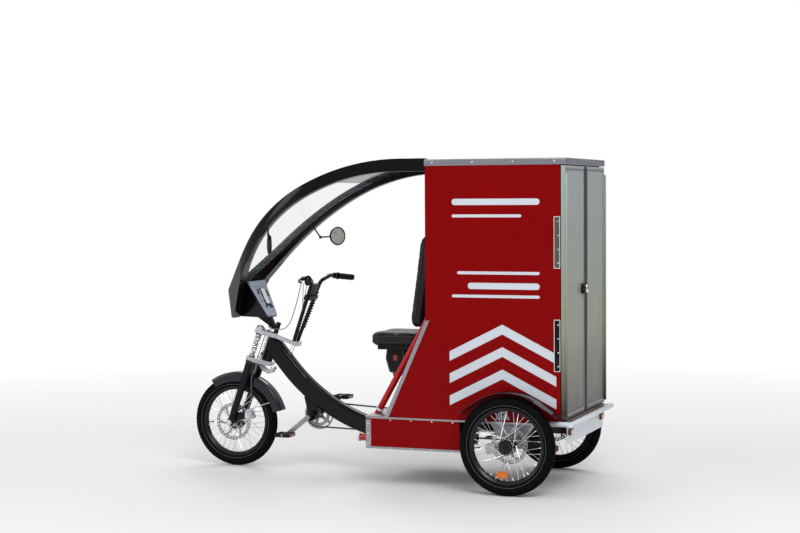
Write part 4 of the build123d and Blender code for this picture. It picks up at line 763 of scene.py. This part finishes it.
def row(shape, origin, direction, places, up=(0, 0, 1)):  # the same small shape at several local places
    return merge(*[placed(shape, facing(origin, direction, up) @ shift(*place)) for place in places])


def helix(radius, length, turns, perTurn, closed=0.0):  # closed is the share at each end that doesn't rise
    path = []
    for i in range(turns * perTurn + 1):
        angle = 2 * pi * i / perTurn
        lift = min(1, max(0, (i / (turns * perTurn) - closed) / (1 - 2 * closed)))
        path.append((radius * cos(angle), radius * sin(angle), length * lift))
    return path


# More finishes
# Mirror glass: the pale green colour and its bright cloud patches are a painted reflection
mirrorGlassPaintedReflection = finish("mirrorGlassPaintedReflection", (0.66, 0.71, 0.66), 0.12, 0.02, metal=0.12, cloud=0.25,
                     cloudScale=45, grain=0.0, gloss=0.6)
lampHousing = finish("lampHousing", (0.10, 0.004, 0.006), 0.25, coat=0.3, grain=0.03)
lampLens = finish("lampLens", (0.90, 0.50, 0.50), 0.18, coat=0.4, grain=0.05, grainScale=300)
orangePlastic = finish("orangePlastic", (0.30, 0.075, 0.012), 0.40, grain=0.1)
reflectorRed = finish("reflectorRed", (0.35, 0.008, 0.01), 0.15, coat=0.4, grain=0.2, grainScale=900)
reflectorAmber = finish("reflectorAmber", (0.55, 0.14, 0.01), 0.15, coat=0.4, grain=0.2, grainScale=900)
sealRubber = finish("sealRubber", (0.012, 0.012, 0.012), 0.55, cloud=0.2, grain=0.2)
screenWhite = finish("screenWhite", (0.78, 0.80, 0.84), 0.25, coat=0.2, cloud=0.02, grain=0.02)
oliveLeaf = finish("oliveLeaf", (0.085, 0.085, 0.055), 0.45, metal=0.3, cloud=0.1, grain=0.15)
cableSilver = finish("cableSilver", (0.45, 0.46, 0.48), 0.35, metal=0.8, cloud=0.05, grain=0.3,
                     grainScale=1800)
seamThread = finish("seamThread", (0.018, 0.018, 0.020), 0.6, grain=0.5, grainScale=2500)

# Amber reflectors clipped on the outer spokes of the rear wheels
reflectorParts = {
    "ahead": 0.025,
    "below": 0.152,
    "outside": 0.0085,
    "size": (0.062, 0.038, 0.010, 0.009, 0.003),  # width, height, corner, thickness and edge
}
for prefix, body, side in (("rear_left", "wheel_left", 1), ("rear_right", "wheel_right", -1)):
    away = Vector((reflectorParts["ahead"], side * reflectorParts["outside"], -reflectorParts["below"]))
    at = facing(middleOf(prefix + "_tyre") + away, (0, side, 0))
    piece(prefix + "Reflector", [(plate(*reflectorParts["size"], at), reflectorAmber)], body)
print("wheels made")

# Fork: coil springs, dust seals, axle nuts and crown bolts
forkParts = {
    "offset": -0.065,  # legs behind the steering axis
    "spacing": 0.082,
    "springFrom": 0.6762,
    "springTo": 0.8232,
    "springRoom": 0.008,  # kept free at each end for the collars
    "coilRadius": 0.0152,
    "wire": 0.0034,
    "coilTurns": 13,
    "closedShare": 0.06,
    "rodRadius": 0.0088,
    "sealHeight": 0.6375,
    "crownNutHeight": 0.8648,
    "axleNutOut": 0.1055,
    "pinchHeights": (0.664, 0.836),
    "pinchAhead": 0.0262,
    "pinchInside": 0.014,
    "armBolt": (0.641, 0.056, 0.0232),  # height, back and across
}
offset, spacing = forkParts["offset"], forkParts["spacing"]
springLen = forkParts["springTo"] - forkParts["springFrom"]
coilLen = springLen - 2 * forkParts["springRoom"]
coilPath = helix(forkParts["coilRadius"], coilLen, forkParts["coilTurns"], 18, forkParts["closedShare"])
coil = tube(coilPath, forkParts["wire"], 8)
rod = lathe([(forkParts["rodRadius"], 0), (forkParts["rodRadius"], springLen)], 32)
collar = lathe([
    (0.0185, 0), (0.0188, 0.001), (0.0188, 0.006), (0.0165, 0.0075), (0.0092, 0.0075), (0.0092, 0),
], 36, closed=True)
seal = lathe([(0.0243, 0), (0.0262, 0.001), (0.0262, 0.0085), (0.0243, 0.0105)], 40)
armHeight, armBack, armAcross = forkParts["armBolt"]
wires, rods, collars, seals, bolts = [], [], [], [], []
for side in (1, -1):
    at = steered(forkParts["springFrom"], offset, side * spacing)
    wires.append(placed(coil, at @ shift(0, 0, forkParts["springRoom"])))
    rods.append(placed(rod, at))
    collars.append(placed(collar, at @ shift(0, 0, 0.0003)))
    collars.append(placed(collar, at @ shift(0, 0, springLen - 0.0003) @ turn(180, "X")))
    seals.append(placed(seal, steered(forkParts["sealHeight"], offset, side * spacing)))
    axleEnd = frontAxle + Vector((0, side * forkParts["axleNutOut"], 0))
    bolts.append(placed(hexHead(0.022, 0.008), facing(axleEnd, (0, side, 0))))
    bolts.append(placed(hexHead(0.027, 0.006), steered(forkParts["crownNutHeight"], offset, side * spacing)))
    across = side * (spacing - forkParts["pinchInside"])
    for height in forkParts["pinchHeights"]:
        pinchAt = steered(height, offset - forkParts["pinchAhead"], across) @ turn(-90, "Y")
        bolts.append(placed(socketHead(0.0055, 0.006), pinchAt))
    armAt = steered(armHeight, armBack, side * armAcross).translation
    bolts.append(placed(hexHead(0.015, 0.005), facing(armAt, (0, side, 0))))
piece("forkSprings", [(merge(*wires), chrome), (merge(*rods), steel), (merge(*collars), blackPaint)],
      "steering", ["fork_springs"])
piece("forkSeals", [(merge(*seals), sealRubber)], "steering")
piece("forkBolts", [(merge(*bolts), boltZinc)], "steering")

# Mudguard stays from the rear edge of the guard to the legs
stayParts = {
    "wire": 0.0024,
    "legOut": 0.058,
    "legRise": 0.05,
    "guardEnd": (-0.235, 0.0405, 0.120),
    "bow": 0.004,
}
stays = []
for side in (1, -1):
    foot = frontAxle + Vector((0, side * stayParts["legOut"], 0)) + steerUp * stayParts["legRise"]
    x, y, z = stayParts["guardEnd"]
    guardEnd = frontAxle + Vector((x, side * y, z))
    bow = (foot + guardEnd) / 2 + Vector((0, side * stayParts["bow"], 0))
    stays.append(tube(easedLine([foot, bow, guardEnd], 5), stayParts["wire"], 8))
piece("guardStays", [(merge(*stays), chrome)], "steering")

# Cables that leave the handlebar for the main beam
cableRadius = 0.0022
cableRuns = {
    "motorCable": (
        (1372, 46, 1090), (1376, 48, 1000), (1382, 46, 930), (1405, 40, 850),
        (1440, 34, 760), (1468, 28, 692), (1480, 20, 664),
    ),
    "sensorCable": (
        (1384, -34, 1088), (1398, -30, 1010), (1412, -26, 930), (1424, -26, 850),
        (1448, -24, 764), (1470, -20, 694), (1480, -14, 664),
    ),
}
for name, points in cableRuns.items():
    line = easedLine([spot(*point) for point in points], 8)
    run = piece(name, [(tube(line, cableRadius, 8), cableSilver)], None)
    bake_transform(run)

# Handlebar: ribs on the grips, and the spiral wrap round the cables on the right riser
barParts = {
    "footHeight": 0.8492,
    "footBack": 0.1370,
    "footSpacing": 0.030,
    "rise": 0.372,
    "lean": 21,
    "topSpacing": 0.060,
    "gripEnd": (-0.090, 0.330, 0.010),  # from the risers' top
    "gripInner": (-0.020, 0.165, 0.030),
    "ribs": 15,
    "ribFrom": 0.004,
    "ribPitch": 0.0075,
    "wrapFrom": 0.20,  # shares of the riser's length
    "wrapShare": 0.62,
    "wrapTurns": 14,
    "wrapRadius": 0.0145,
    "wrapWire": 0.0028,
}
riserFoot = steered(barParts["footHeight"], barParts["footBack"]).translation
lean = radians(barParts["lean"])
riserTop = riserFoot + Vector((-sin(lean), 0, cos(lean))) * barParts["rise"]
rib = lathe([(0.0165, 0), (0.0177, 0.0012), (0.0177, 0.0034), (0.0165, 0.0046)], 28, closed=True)
ribs = []
for side in (1, -1):
    ends = [riserTop + Vector((x, side * y, z)) for x, y, z in (barParts["gripEnd"], barParts["gripInner"])]
    at = facing(ends[0], ends[1] - ends[0]) @ shift(0, 0, barParts["ribFrom"])
    ribs += [placed(rib, at @ shift(0, 0, barParts["ribPitch"] * i)) for i in range(barParts["ribs"])]
piece("gripRibs", [(merge(*ribs), rubber)], "steering")

wrapFoot = riserFoot + Vector((0, -barParts["footSpacing"], 0))
wrapRun = riserTop + Vector((0, -barParts["topSpacing"], 0)) - wrapFoot
wrapAt = facing(wrapFoot + wrapRun * barParts["wrapFrom"], wrapRun)
wrapPath = helix(barParts["wrapRadius"], wrapRun.length * barParts["wrapShare"], barParts["wrapTurns"], 16)
wrap = placed(tube(wrapPath, barParts["wrapWire"], 6), wrapAt)
piece("spiralWrap", [(wrap, blackPlastic)], "steering")

# Front caliper: dial of the pad adjuster
low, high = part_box("front_caliper")
dialAt = (low + high) / 2
dialAt.y = high.y - 0.0002
dial = lathe([
    (0.0135, 0), (0.0135, 0.0006), (0.011, 0.0012), (0.004, 0.0012), (0.0035, 0.0004), (1e-6, 0.0004),
], 36)
piece("caliperCap", [(placed(dial, facing(dialAt, (0, 1, 0))), boltZinc)], "steering")

# Nose console: raised display in its frame, side keys, knob, top band and screws
consoleParts = {
    "rearTop": (1705, 0, 1100),
    "rearLow": (1593, 0, 886),
    "lift": 0.010,
    "frame": (0.068, 0.114, 0.006, 0.004, 0.001),
    "frameAt": (0.010, 0.008, 0),
    "screen": (0.050, 0.098, 0.004, 0.0055, 0.001),
    "screenAt": (0.010, 0.012, 0),
    "displayTurn": -4,
    "band": ((-0.108, 0.080), (0.108, 0.080), (0.112, 0.112), (-0.112, 0.112)),
    "keys": (  # centre, width and height
        (-0.052, 0.046, 0.014, 0.034), (0.058, 0.030, 0.012, 0.040),
        (0.030, -0.058, 0.040, 0.012), (-0.030, -0.052, 0.014, 0.016),
    ),
    "knob": (-0.056, -0.004),
    "screwHeights": (-0.098, -0.035, 0.030, 0.072),
}
rearTop, rearLow = spot(*consoleParts["rearTop"]), spot(*consoleParts["rearLow"])
faceUp = (rearTop - rearLow).normalized()
faceOut = Vector((-faceUp.z, 0, faceUp.x))
consoleAt = facing((rearTop + rearLow) / 2 + faceOut * consoleParts["lift"], faceOut)
tilt = turn(consoleParts["displayTurn"], "Z")
bezel = plate(*consoleParts["frame"], consoleAt @ shift(*consoleParts["frameAt"]) @ tilt)
screen = plate(*consoleParts["screen"], consoleAt @ shift(*consoleParts["screenAt"]) @ tilt)
band = placed(slab(consoleParts["band"], 0.0024, 0.0006, 1), consoleAt)
keys = [plate(width, height, 0.003, 0.003, 0.0008, consoleAt @ shift(x, y, 0), 1)
        for x, y, width, height in consoleParts["keys"]]
knob = lathe([(0.011, 0), (0.011, 0.009), (0.009, 0.011), (1e-6, 0.011)], 24)
knob = placed(knob, consoleAt @ shift(*consoleParts["knob"], 0))
screws = []
for side in (1, -1):
    for y in consoleParts["screwHeights"]:
        x = side * (0.049 + (y + 0.11) * 0.245)  # along the plate's slanted sides
        screws.append(placed(domeHead(0.0042), consoleAt @ shift(x, y, 0.0002)))
piece("consoleFace", [
    (merge(bezel, *keys), blackPlastic),
    (screen, screenWhite),
    (band, consolePaint),
    (knob, castAluminium),
    (merge(*screws), boltZinc),
], "frame")

# Mirror glasses in dark rims, with a painted reflection in their pale green colour
mirrorParts = {"radius": 0.0480, "outTurn": 33, "left": (1452, 320, 1321), "right": (1316, -340, 1356)}
glass = slab(circle(mirrorParts["radius"], 48), 0.0012, 0.0005, 1)
outTurn = radians(mirrorParts["outTurn"])
glasses = []
for side, key in ((1, "left"), (-1, "right")):
    look = Vector((-cos(outTurn), -side * sin(outTurn), 0))
    glasses.append(placed(glass, facing(spot(*mirrorParts[key]) - look * 0.0002, look)))
piece("mirrorGlassPaintedReflection", [(merge(*glasses), mirrorGlassPaintedReflection)], "frame")
print("steering pieces made")

# Box: rivets on the roof cap, framed hinge leaves, plain white chevrons and stripes on the side panels
boxParts = {
    "rivetX": (440, 213, -14, -241),
    "rivetY": (-240, -80, 80, 240),
    "rivetZ": 1773,
    "capSide": 426,
    "capRear": -302,
    "rivetRadius": 0.0055,
    "leafZ": (800, 1345),
    "leafTall": 0.275,
    "leafRim": 0.003,
    "leafScrews": (-0.11, -0.037, 0.037, 0.11),
    "markThickness": 0.0005,
    "chevronPeaks": (905, 785, 665),  # heights of the three peaks, in mm
    "chevronRise": 150,
    "chevronBand": 52,
    "chevronSpan": (-250, 345),
    "stripes": (  # height, width of the stripe, start and end
        (1560, 34, -160, 330), (1485, 16, -60, 330), (1180, 16, -160, 300),
        (1110, 34, -160, 240), (1055, 16, -160, 330),
    ),
}
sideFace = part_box("side_panel_left")[1].y
rivet = domeHead(boxParts["rivetRadius"])
rivets = []
for x in boxParts["rivetX"]:
    rivets.append(placed(rivet, facing(spot(x, boxParts["capSide"], boxParts["rivetZ"]), (0, 1, 0))))
for y in boxParts["rivetY"]:
    rivets.append(placed(rivet, facing(spot(boxParts["capRear"], y, boxParts["rivetZ"]), (-1, 0, 0))))
piece("capRivets", [(bothSides(merge(*rivets)), boltZinc)], "frame")

low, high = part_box("hinge_leaves")
leafOutline = roundRect(high.x - low.x, boxParts["leafTall"], 0.003)
leafRim = plateRing(leafOutline, grown(leafOutline, -boxParts["leafRim"]), 0.0029)
plates = {oliveLeaf: [], blackPaint: [], whitePaint: [], boltZinc: []}
for z, colour in zip(boxParts["leafZ"], (blackPaint, oliveLeaf)):
    at = facing(((low.x + high.x) / 2, sideFace, z / 1000), (0, 1, 0))
    plates[colour].append(placed(slab(leafOutline, 0.0024, 0.0005, 1), at))
    plates[whitePaint].append(placed(leafRim, at))
    for step in boxParts["leafScrews"]:
        plates[boltZinc].append(placed(domeHead(0.0045), at @ shift(0.006, step, 0.0023)))
piece("hingeLeaves", [(bothSides(merge(*shapes)), colour) for colour, shapes in plates.items()],
      "frame", ["hinge_leaves"])

start, end = boxParts["chevronSpan"]
rise, band = boxParts["chevronRise"], boxParts["chevronBand"]
panelAt = Matrix(((1, 0, 0, rearAxle.x), (0, 0, -1, -sideFace), (0, 1, 0, 0), (0, 0, 0, 1)))
chevron = [
    (start, -rise - band), ((start + end) / 2, -band), (end, -rise - band),
    (end, -rise), ((start + end) / 2, 0), (start, -rise),
]
outlines = [[(x / 1000, (z + peak) / 1000) for x, z in chevron] for peak in boxParts["chevronPeaks"]]
for z, tall, start, end in boxParts["stripes"]:
    bar = roundRect((end - start) / 1000, tall / 1000, tall / 2100)
    outlines.append([(x + (start + end) / 2000, y + z / 1000) for x, y in bar])
marks = [placed(slab(outline, boxParts["markThickness"], 0.0001, 1), panelAt) for outline in outlines]
piece("sideMarks", [(bothSides(merge(*marks)), whiteFilm)], "frame")

# Rear doors: soft pale to dark finish, seals between them, edge trims and the latch
doorFinish, tree, shader = newFinish("doorFinish")
height = heightIn(tree, "Object")
lowTone = blended(tree, ranged(tree, height, 0, 1, 0.42, 0.88), (0.024, 0.020, 0.016), (0.25, 0.27, 0.20))
fill(tree, shader, {
    "Base Color": blended(tree, ranged(tree, height, 0, 1, 0.95, 1.65), lowTone, (0.31, 0.36, 0.35)),
    "Roughness": ranged(tree, placeNoise(tree, 8, 4), 0.26, 0.36),
    "Normal": bumped(tree, placeNoise(tree, 300, 2), 0.05),
})
paint("door_left", doorFinish)
paint("door_right", doorFinish)

doorParts = {
    "outerFace": -299,
    "sealWide": 0.022,
    "edging": (0.372, 0.010),  # width, and width of its rim
    "edgingMiddle": 0.214,  # from the meeting edge
    "screwHeights": (-0.60, -0.3, 0.0, 0.3, 0.60),
}
outerFace = spot(doorParts["outerFace"], 0, 0).x
for prefix, body, side in (("left", "left_door", 1), ("right", "right_door", -1)):
    low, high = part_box("door_" + prefix)
    inner = low.y if side > 0 else high.y
    middleZ = (low.z + high.z) / 2
    doorTall = high.z - low.z
    sealAt = facing((outerFace, inner + side * doorParts["sealWide"] / 2, middleZ), (-1, 0, 0))
    strip = plate(doorParts["sealWide"], doorTall - 0.004, 0.002, 0.0022, 0.0008, sealAt, 1)
    edgingAt = (outerFace, inner + side * doorParts["edgingMiddle"], middleZ)
    outline = roundRect(doorParts["edging"][0], doorTall - 0.03, 0.004)
    edging = plateRing(outline, grown(outline, -doorParts["edging"][1]), 0.0016)
    edging = placed(edging, facing(edgingAt, (-1, 0, 0)))
    seats = [(side * -0.201, z, 0.0002) for z in doorParts["screwHeights"]]
    heads = row(domeHead(0.004), edgingAt, (-1, 0, 0), seats)
    piece(prefix + "DoorTrim", [(strip, sealRubber), (edging, aluminium), (heads, boltZinc)],
          body)

latchParts = {"capDepth": 0.009, "capSize": (0.054, 0.048), "capShift": 0.015, "lockRadius": 0.009}
low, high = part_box("door_latch")
latchAt = facing((high.x, (low.y + high.y) / 2, (low.z + high.z) / 2), (-1, 0, 0))
depth = high.x - low.x
grip = plate(high.y - low.y, high.z - low.z, 0.012, depth - 0.007, 0.004)
capAt = latchAt @ shift(latchParts["capShift"], 0, depth - latchParts["capDepth"] - 0.0004)
cap = plate(*latchParts["capSize"], 0.015, latchParts["capDepth"], 0.0035, capAt)
lockRadius = latchParts["lockRadius"]
lock = lathe([(lockRadius, -0.003), (lockRadius, 0), (0.003, 0), (0.002, -0.002), (1e-6, -0.002)], 28)
lock = placed(lock, shift(latchParts["capShift"], 0, depth))
piece("doorLatch", [(placed(merge(grip, lock), latchAt), blackPlastic), (cap, chrome)],
      "left_door", ["door_latch"])

# Skirts: bolts on the front uprights and the rails
skirtParts = {
    "uprightBolts": (0.235, 0.290, 0.345),
    "railBolts": (330, 450, 570, 690),
    "railHeights": (0.213, 0.367),
    "cornerWide": 0.030,
}
low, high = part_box("skirt_rails")
bolts = [placed(hexHead(0.012, 0.0035), facing((high.x - 0.014, high.y, z), (0, 1, 0)))
         for z in skirtParts["uprightBolts"]]
for x in skirtParts["railBolts"]:
    for z in skirtParts["railHeights"]:
        bolts.append(placed(domeHead(0.0045), facing((spot(x, 0, 0).x, high.y, z), (0, 1, 0))))
cornerAt = facing((high.x - 0.0155, high.y - 0.0001, (low.z + high.z) / 2), (0, 1, 0))
corner = plate(skirtParts["cornerWide"], high.z - low.z - 0.012, 0.002, 0.0016, 0.0005, cornerAt, 1)
piece("skirtBolts", [(bothSides(corner), aluminium), (bothSides(merge(*bolts)), boltZinc)],
      "frame")

# Tail plate's bolts, and the two lamps
tailParts = {
    "boltY": (-0.372, -0.19, 0.19, 0.372),
    "boltZ": (-0.040, 0.040),
    "lampY": 0.336,
    "housing": (0.064, 0.036, 0.010),
    "lens": (0.050, 0.025, 0.008),
}
low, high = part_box("tail_plate")
corners = [(x, z, 0.0002) for x in tailParts["boltY"] for z in tailParts["boltZ"]]
heads = row(domeHead(0.0045), (low.x, 0, (low.z + high.z) / 2), (-1, 0, 0), corners)
piece("tailBolts", [(heads, boltZinc)], "frame")
low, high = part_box("tail_lamps")
lampDeep = high.x - low.x
housings, lenses = [], []
for side in (1, -1):
    at = facing((high.x, side * tailParts["lampY"], (low.z + high.z) / 2), (-1, 0, 0))
    housings.append(plate(*tailParts["housing"], lampDeep - 0.003, 0.003, at))
    lenses.append(plate(*tailParts["lens"], lampDeep, 0.003, at))
piece("tailLamps", [(merge(*housings), lampHousing), (merge(*lenses), lampLens)],
      "frame", ["tail_lamps"])

# Battery: orange foot, thin light rim lines and a red reflector
batteryParts = {
    "footAt": (803.5, 0, 566),
    "footSize": (0.050, 0.050, 0.005, 0.028, 0.003),
    "side": 90,
    "rimCorners": ((740, 726), (736, 658), (778, 596), (818, 596), (840, 672), (834, 726)),
    "rimWire": 0.0012,
    "mark": (786, 677),
    "markSize": (0.026, 0.032, 0.004, 0.002, 0.0007),
}
foot = plate(*batteryParts["footSize"], facing(spot(*batteryParts["footAt"]), (0, 0, 1), (0, 1, 0)))
outline = [spot(x, batteryParts["side"], z) for x, z in batteryParts["rimCorners"]]
rim = tube(outline, batteryParts["rimWire"], 6, closed=True)
markX, markZ = batteryParts["mark"]
markAt = facing(spot(markX, batteryParts["side"], markZ), (0, 1, 0))
mark = plate(*batteryParts["markSize"], markAt, 1)
piece("batteryTrim", [(foot, orangePlastic), (bothSides(mark), reflectorRed), (bothSides(rim), sheetGrey)],
      "frame")

# Drive: chain links
chainParts = {
    "pitch": 0.0127,
    "plateT": 0.0012,
    "plateRadius": 0.33,  # as a share of the pitch
    "ringRadius": 0.0745,
    "rearRadius": 0.0545,
    "innerGap": 0.0018,
}
pitch, plateT = chainParts["pitch"], chainParts["plateT"]
ringMiddle = Vector((crankAxle.x, crankAxle.z))
rearMiddle = Vector((rearAxle.x, rearAxle.z))
run = ringMiddle - rearMiddle
lineTurn = atan2(run.y, run.x)
wrap = atan2(chainParts["ringRadius"] - chainParts["rearRadius"], run.length)
loop = []
for centre, radius, start, end in (
    (ringMiddle, chainParts["ringRadius"], lineTurn + pi / 2 + wrap, lineTurn - pi / 2 - wrap),
    (rearMiddle, chainParts["rearRadius"], lineTurn - pi / 2 - wrap, lineTurn - 3 * pi / 2 + wrap),
):
    for i in range(25):
        angle = start + (end - start) * i / 24
        loop.append(centre + Vector((cos(angle), sin(angle))) * radius)
loop.append(loop[0])
lengths = [(b - a).length for a, b in zip(loop, loop[1:])]
linkCount = round(sum(lengths) / pitch / 2) * 2
plateEnd = chainParts["plateRadius"]
plateOutline = arcLine(0.5, 0, plateEnd, -90, 90, 4) + arcLine(-0.5, 0, plateEnd, 90, 270, 4)
linkPlate = slab([(x * pitch, y * pitch) for x, y in plateOutline], plateT, 0.0002, 1)
roller = lathe([(0.0038, -0.0022), (0.0038, 0.0022)], 10)
chainY = middleOf("chain").y
plates, rollers = [], []
segment, passed = 0, 0.0
for i in range(linkCount):
    goal = sum(lengths) * i / linkCount
    while passed + lengths[segment] < goal:
        passed += lengths[segment]
        segment += 1
    a, b = loop[segment], loop[segment + 1]
    here = a.lerp(b, (goal - passed) / lengths[segment])
    tilt = atan2((b - a).y, (b - a).x)
    at = shift(here.x, chainY, here.y) @ Matrix.Rotation(-tilt, 4, "Y") @ turn(90, "X")
    gap = chainParts["innerGap"] + (0.0 if i % 2 else 0.0005)
    plates.append(placed(linkPlate, at @ shift(0, 0, gap)))
    plates.append(placed(linkPlate, at @ shift(0, 0, -gap - plateT)))
    rollers.append(placed(roller, at @ shift(pitch / 2, 0, 0)))
piece("chainLinks", [(merge(*plates), darkSteel), (merge(*rollers), steel)],
      "frame", ["chain"])

# Pedals: tread pins and end reflectors
pedalParts = {
    "pinX": (-0.043, 0.043),
    "pinY": (-0.03, -0.015, 0, 0.015, 0.03),
    "reflector": (0.060, 0.008, 0.002, 0.0012, 0.0004),
    "reflectorX": 0.0478,
}
pin = lathe([(0.0022, 0), (0.0022, 0.0025), (0.0012, 0.003), (1e-6, 0.003)], 10)
for prefix, body in (("left", "left_pedal"), ("right", "right_pedal")):
    middle = middleOf("pedal_" + prefix)
    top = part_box("pedal_" + prefix)[1].z
    places = [(middle.x + x, middle.y + y) for x in pedalParts["pinX"] for y in pedalParts["pinY"]]
    pins = repeated(pin, [shift(x, y, top - 0.0031) for x, y in places])
    ends = []
    for side in (1, -1):
        endAt = facing((middle.x + side * pedalParts["reflectorX"], middle.y, middle.z), (side, 0, 0))
        ends.append(plate(*pedalParts["reflector"], endAt, 1))
    piece(prefix + "PedalTrim", [(pins, steel), (merge(*ends), reflectorAmber)], body)
print("box and drive pieces made")

# Cushions: remeshed, blown up with Cloth, and sewn round their edge with a cord
softParts = {"voxel": 0.006, "pressure": 4.0, "cap": 0.011, "frames": 20}


def applyShape(made):
    graph = bpy.context.evaluated_depsgraph_get()
    mesh = bpy.data.meshes.new_from_object(made.evaluated_get(graph))
    old = made.data
    made.modifiers.clear()
    made.data = mesh
    bpy.data.meshes.remove(old)


def cushion(name, outline, thickness, at, nodeName, seams):
    shape = placed(slab(outline, thickness, 0.014, 3), at)
    pad = piece(name, [(shape, vinyl)], "frame", [nodeName], smooth=80)
    remesh = pad.modifiers.new("remesh", "REMESH")
    remesh.mode = "VOXEL"
    remesh.voxel_size = softParts["voxel"]
    remesh.use_smooth_shade = True
    applyShape(pad)
    start = [vertex.co.copy() for vertex in pad.data.vertices]
    cloth = pad.modifiers.new("cloth", "CLOTH")
    cloth.settings.use_pressure = True
    cloth.settings.uniform_pressure_force = softParts["pressure"]
    cloth.settings.effector_weights.gravity = 0
    for step in range(1, softParts["frames"] + 1):
        scene.frame_set(step)
    applyShape(pad)
    scene.frame_set(1)
    for vertex, home in zip(pad.data.vertices, start):
        move = vertex.co - home
        if move.length > softParts["cap"]:
            vertex.co = home + move * (softParts["cap"] / move.length)
    smoothPad = pad.modifiers.new("smooth", "SUBSURF")
    smoothPad.levels = smoothPad.render_levels = 1
    cords = []
    for path in seams:
        line = []
        for point in path:  # each point of the cord is drawn onto the pad
            place, normal = pad.closest_point_on_mesh(at @ Vector(point))[1:3]
            line.append(place + normal * 0.0006)
        cords.append(tube(line, 0.0026, 8, closed=True))
    piece(name + "Piping", [(merge(*cords), seamThread)], "frame")


def dense(outline, step=0.012):
    line = []
    for i, point in enumerate(outline):
        a, b = Vector(point), Vector(outline[(i + 1) % len(outline)])
        parts = max(1, round((b - a).length / step))
        line += [tuple(a.lerp(b, k / parts)) for k in range(parts)]
    return line


# Seat cushion with a nosed front edge, and the tall backrest leaning on the box
seatParts = {
    "room": 0.022,  # kept free for the filling to swell
    "seamRoom": 0.012,
    "below": 0.006,
    "heightRoom": 0.020,
    "seamHeights": (0.050, 0.010),
}
low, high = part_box("seat_cushion")
deep, wide, tall = high - low
seatOutline = roundRect(deep - seatParts["room"], wide - seatParts["room"], 0.055, 8)
seam = dense(roundRect(deep - seatParts["seamRoom"], wide - seatParts["seamRoom"], 0.058, 8))
cushion("seatPad", seatOutline, tall - seatParts["heightRoom"],
        shift((low.x + high.x) / 2, 0, low.z + seatParts["below"]), "seat_cushion",
        [[(x, y, height) for x, y in seam] for height in seatParts["seamHeights"]])

backParts = {
    "foot": (596, 0, 836),
    "top": (520, 0, 1392),
    "wide": 0.410,
    "thick": 0.078,
    "seamHeight": 0.042,
}
backRise = spot(*backParts["top"]) - spot(*backParts["foot"])
tall, wide, thick = backRise.length, backParts["wide"], backParts["thick"]
backOut = Vector((backRise.z, 0, -backRise.x)).normalized()
backMiddle = middleOf("backrest")
backMiddle.y = 0
backAt = facing(backMiddle - backOut * (thick / 2 - 0.003), backOut)
backOutline = roundRect(wide - 0.024, tall - 0.034, 0.050, 8)
seam = dense(roundRect(wide - 0.014, tall - 0.024, 0.054, 8))
cushion("backPad", backOutline, thick - 0.018, backAt, "backrest",
        [[(x, y, backParts["seamHeight"]) for x, y in seam]])
print("cushions made")

# Rounded edges on the plain CAD pieces that show as they are
edgeWidth = {"fine": 0.0008, "wide": 0.002, "broad": 0.007}
broadEdges = ("main_beam",)
wideEdges = (
    "side_panel_left", "side_panel_right", "front_wall", "canopy_arch_left", "canopy_arch_right", "nose_pod",
    "battery_unit", "roof_cap", "skirts", "upper_crown", "lower_crown", "console",
)
skipped = ("brake_hose", "windshield", "canopy_roof")
for name, node in frame["nodes"].items():
    if name in skipped or node.hide_render:
        continue
    weld = node.modifiers.new("weld", "WELD")
    weld.merge_threshold = 0.00002
    bevel = node.modifiers.new("bevel", "BEVEL")
    kind = "broad" if name in broadEdges else "wide" if name in wideEdges else "fine"
    bevel.width = edgeWidth[kind]
    bevel.segments = 3 if kind == "broad" else 2
    bevel.limit_method = "ANGLE"
    bevel.angle_limit = radians(40)
    bevel.harden_normals = True
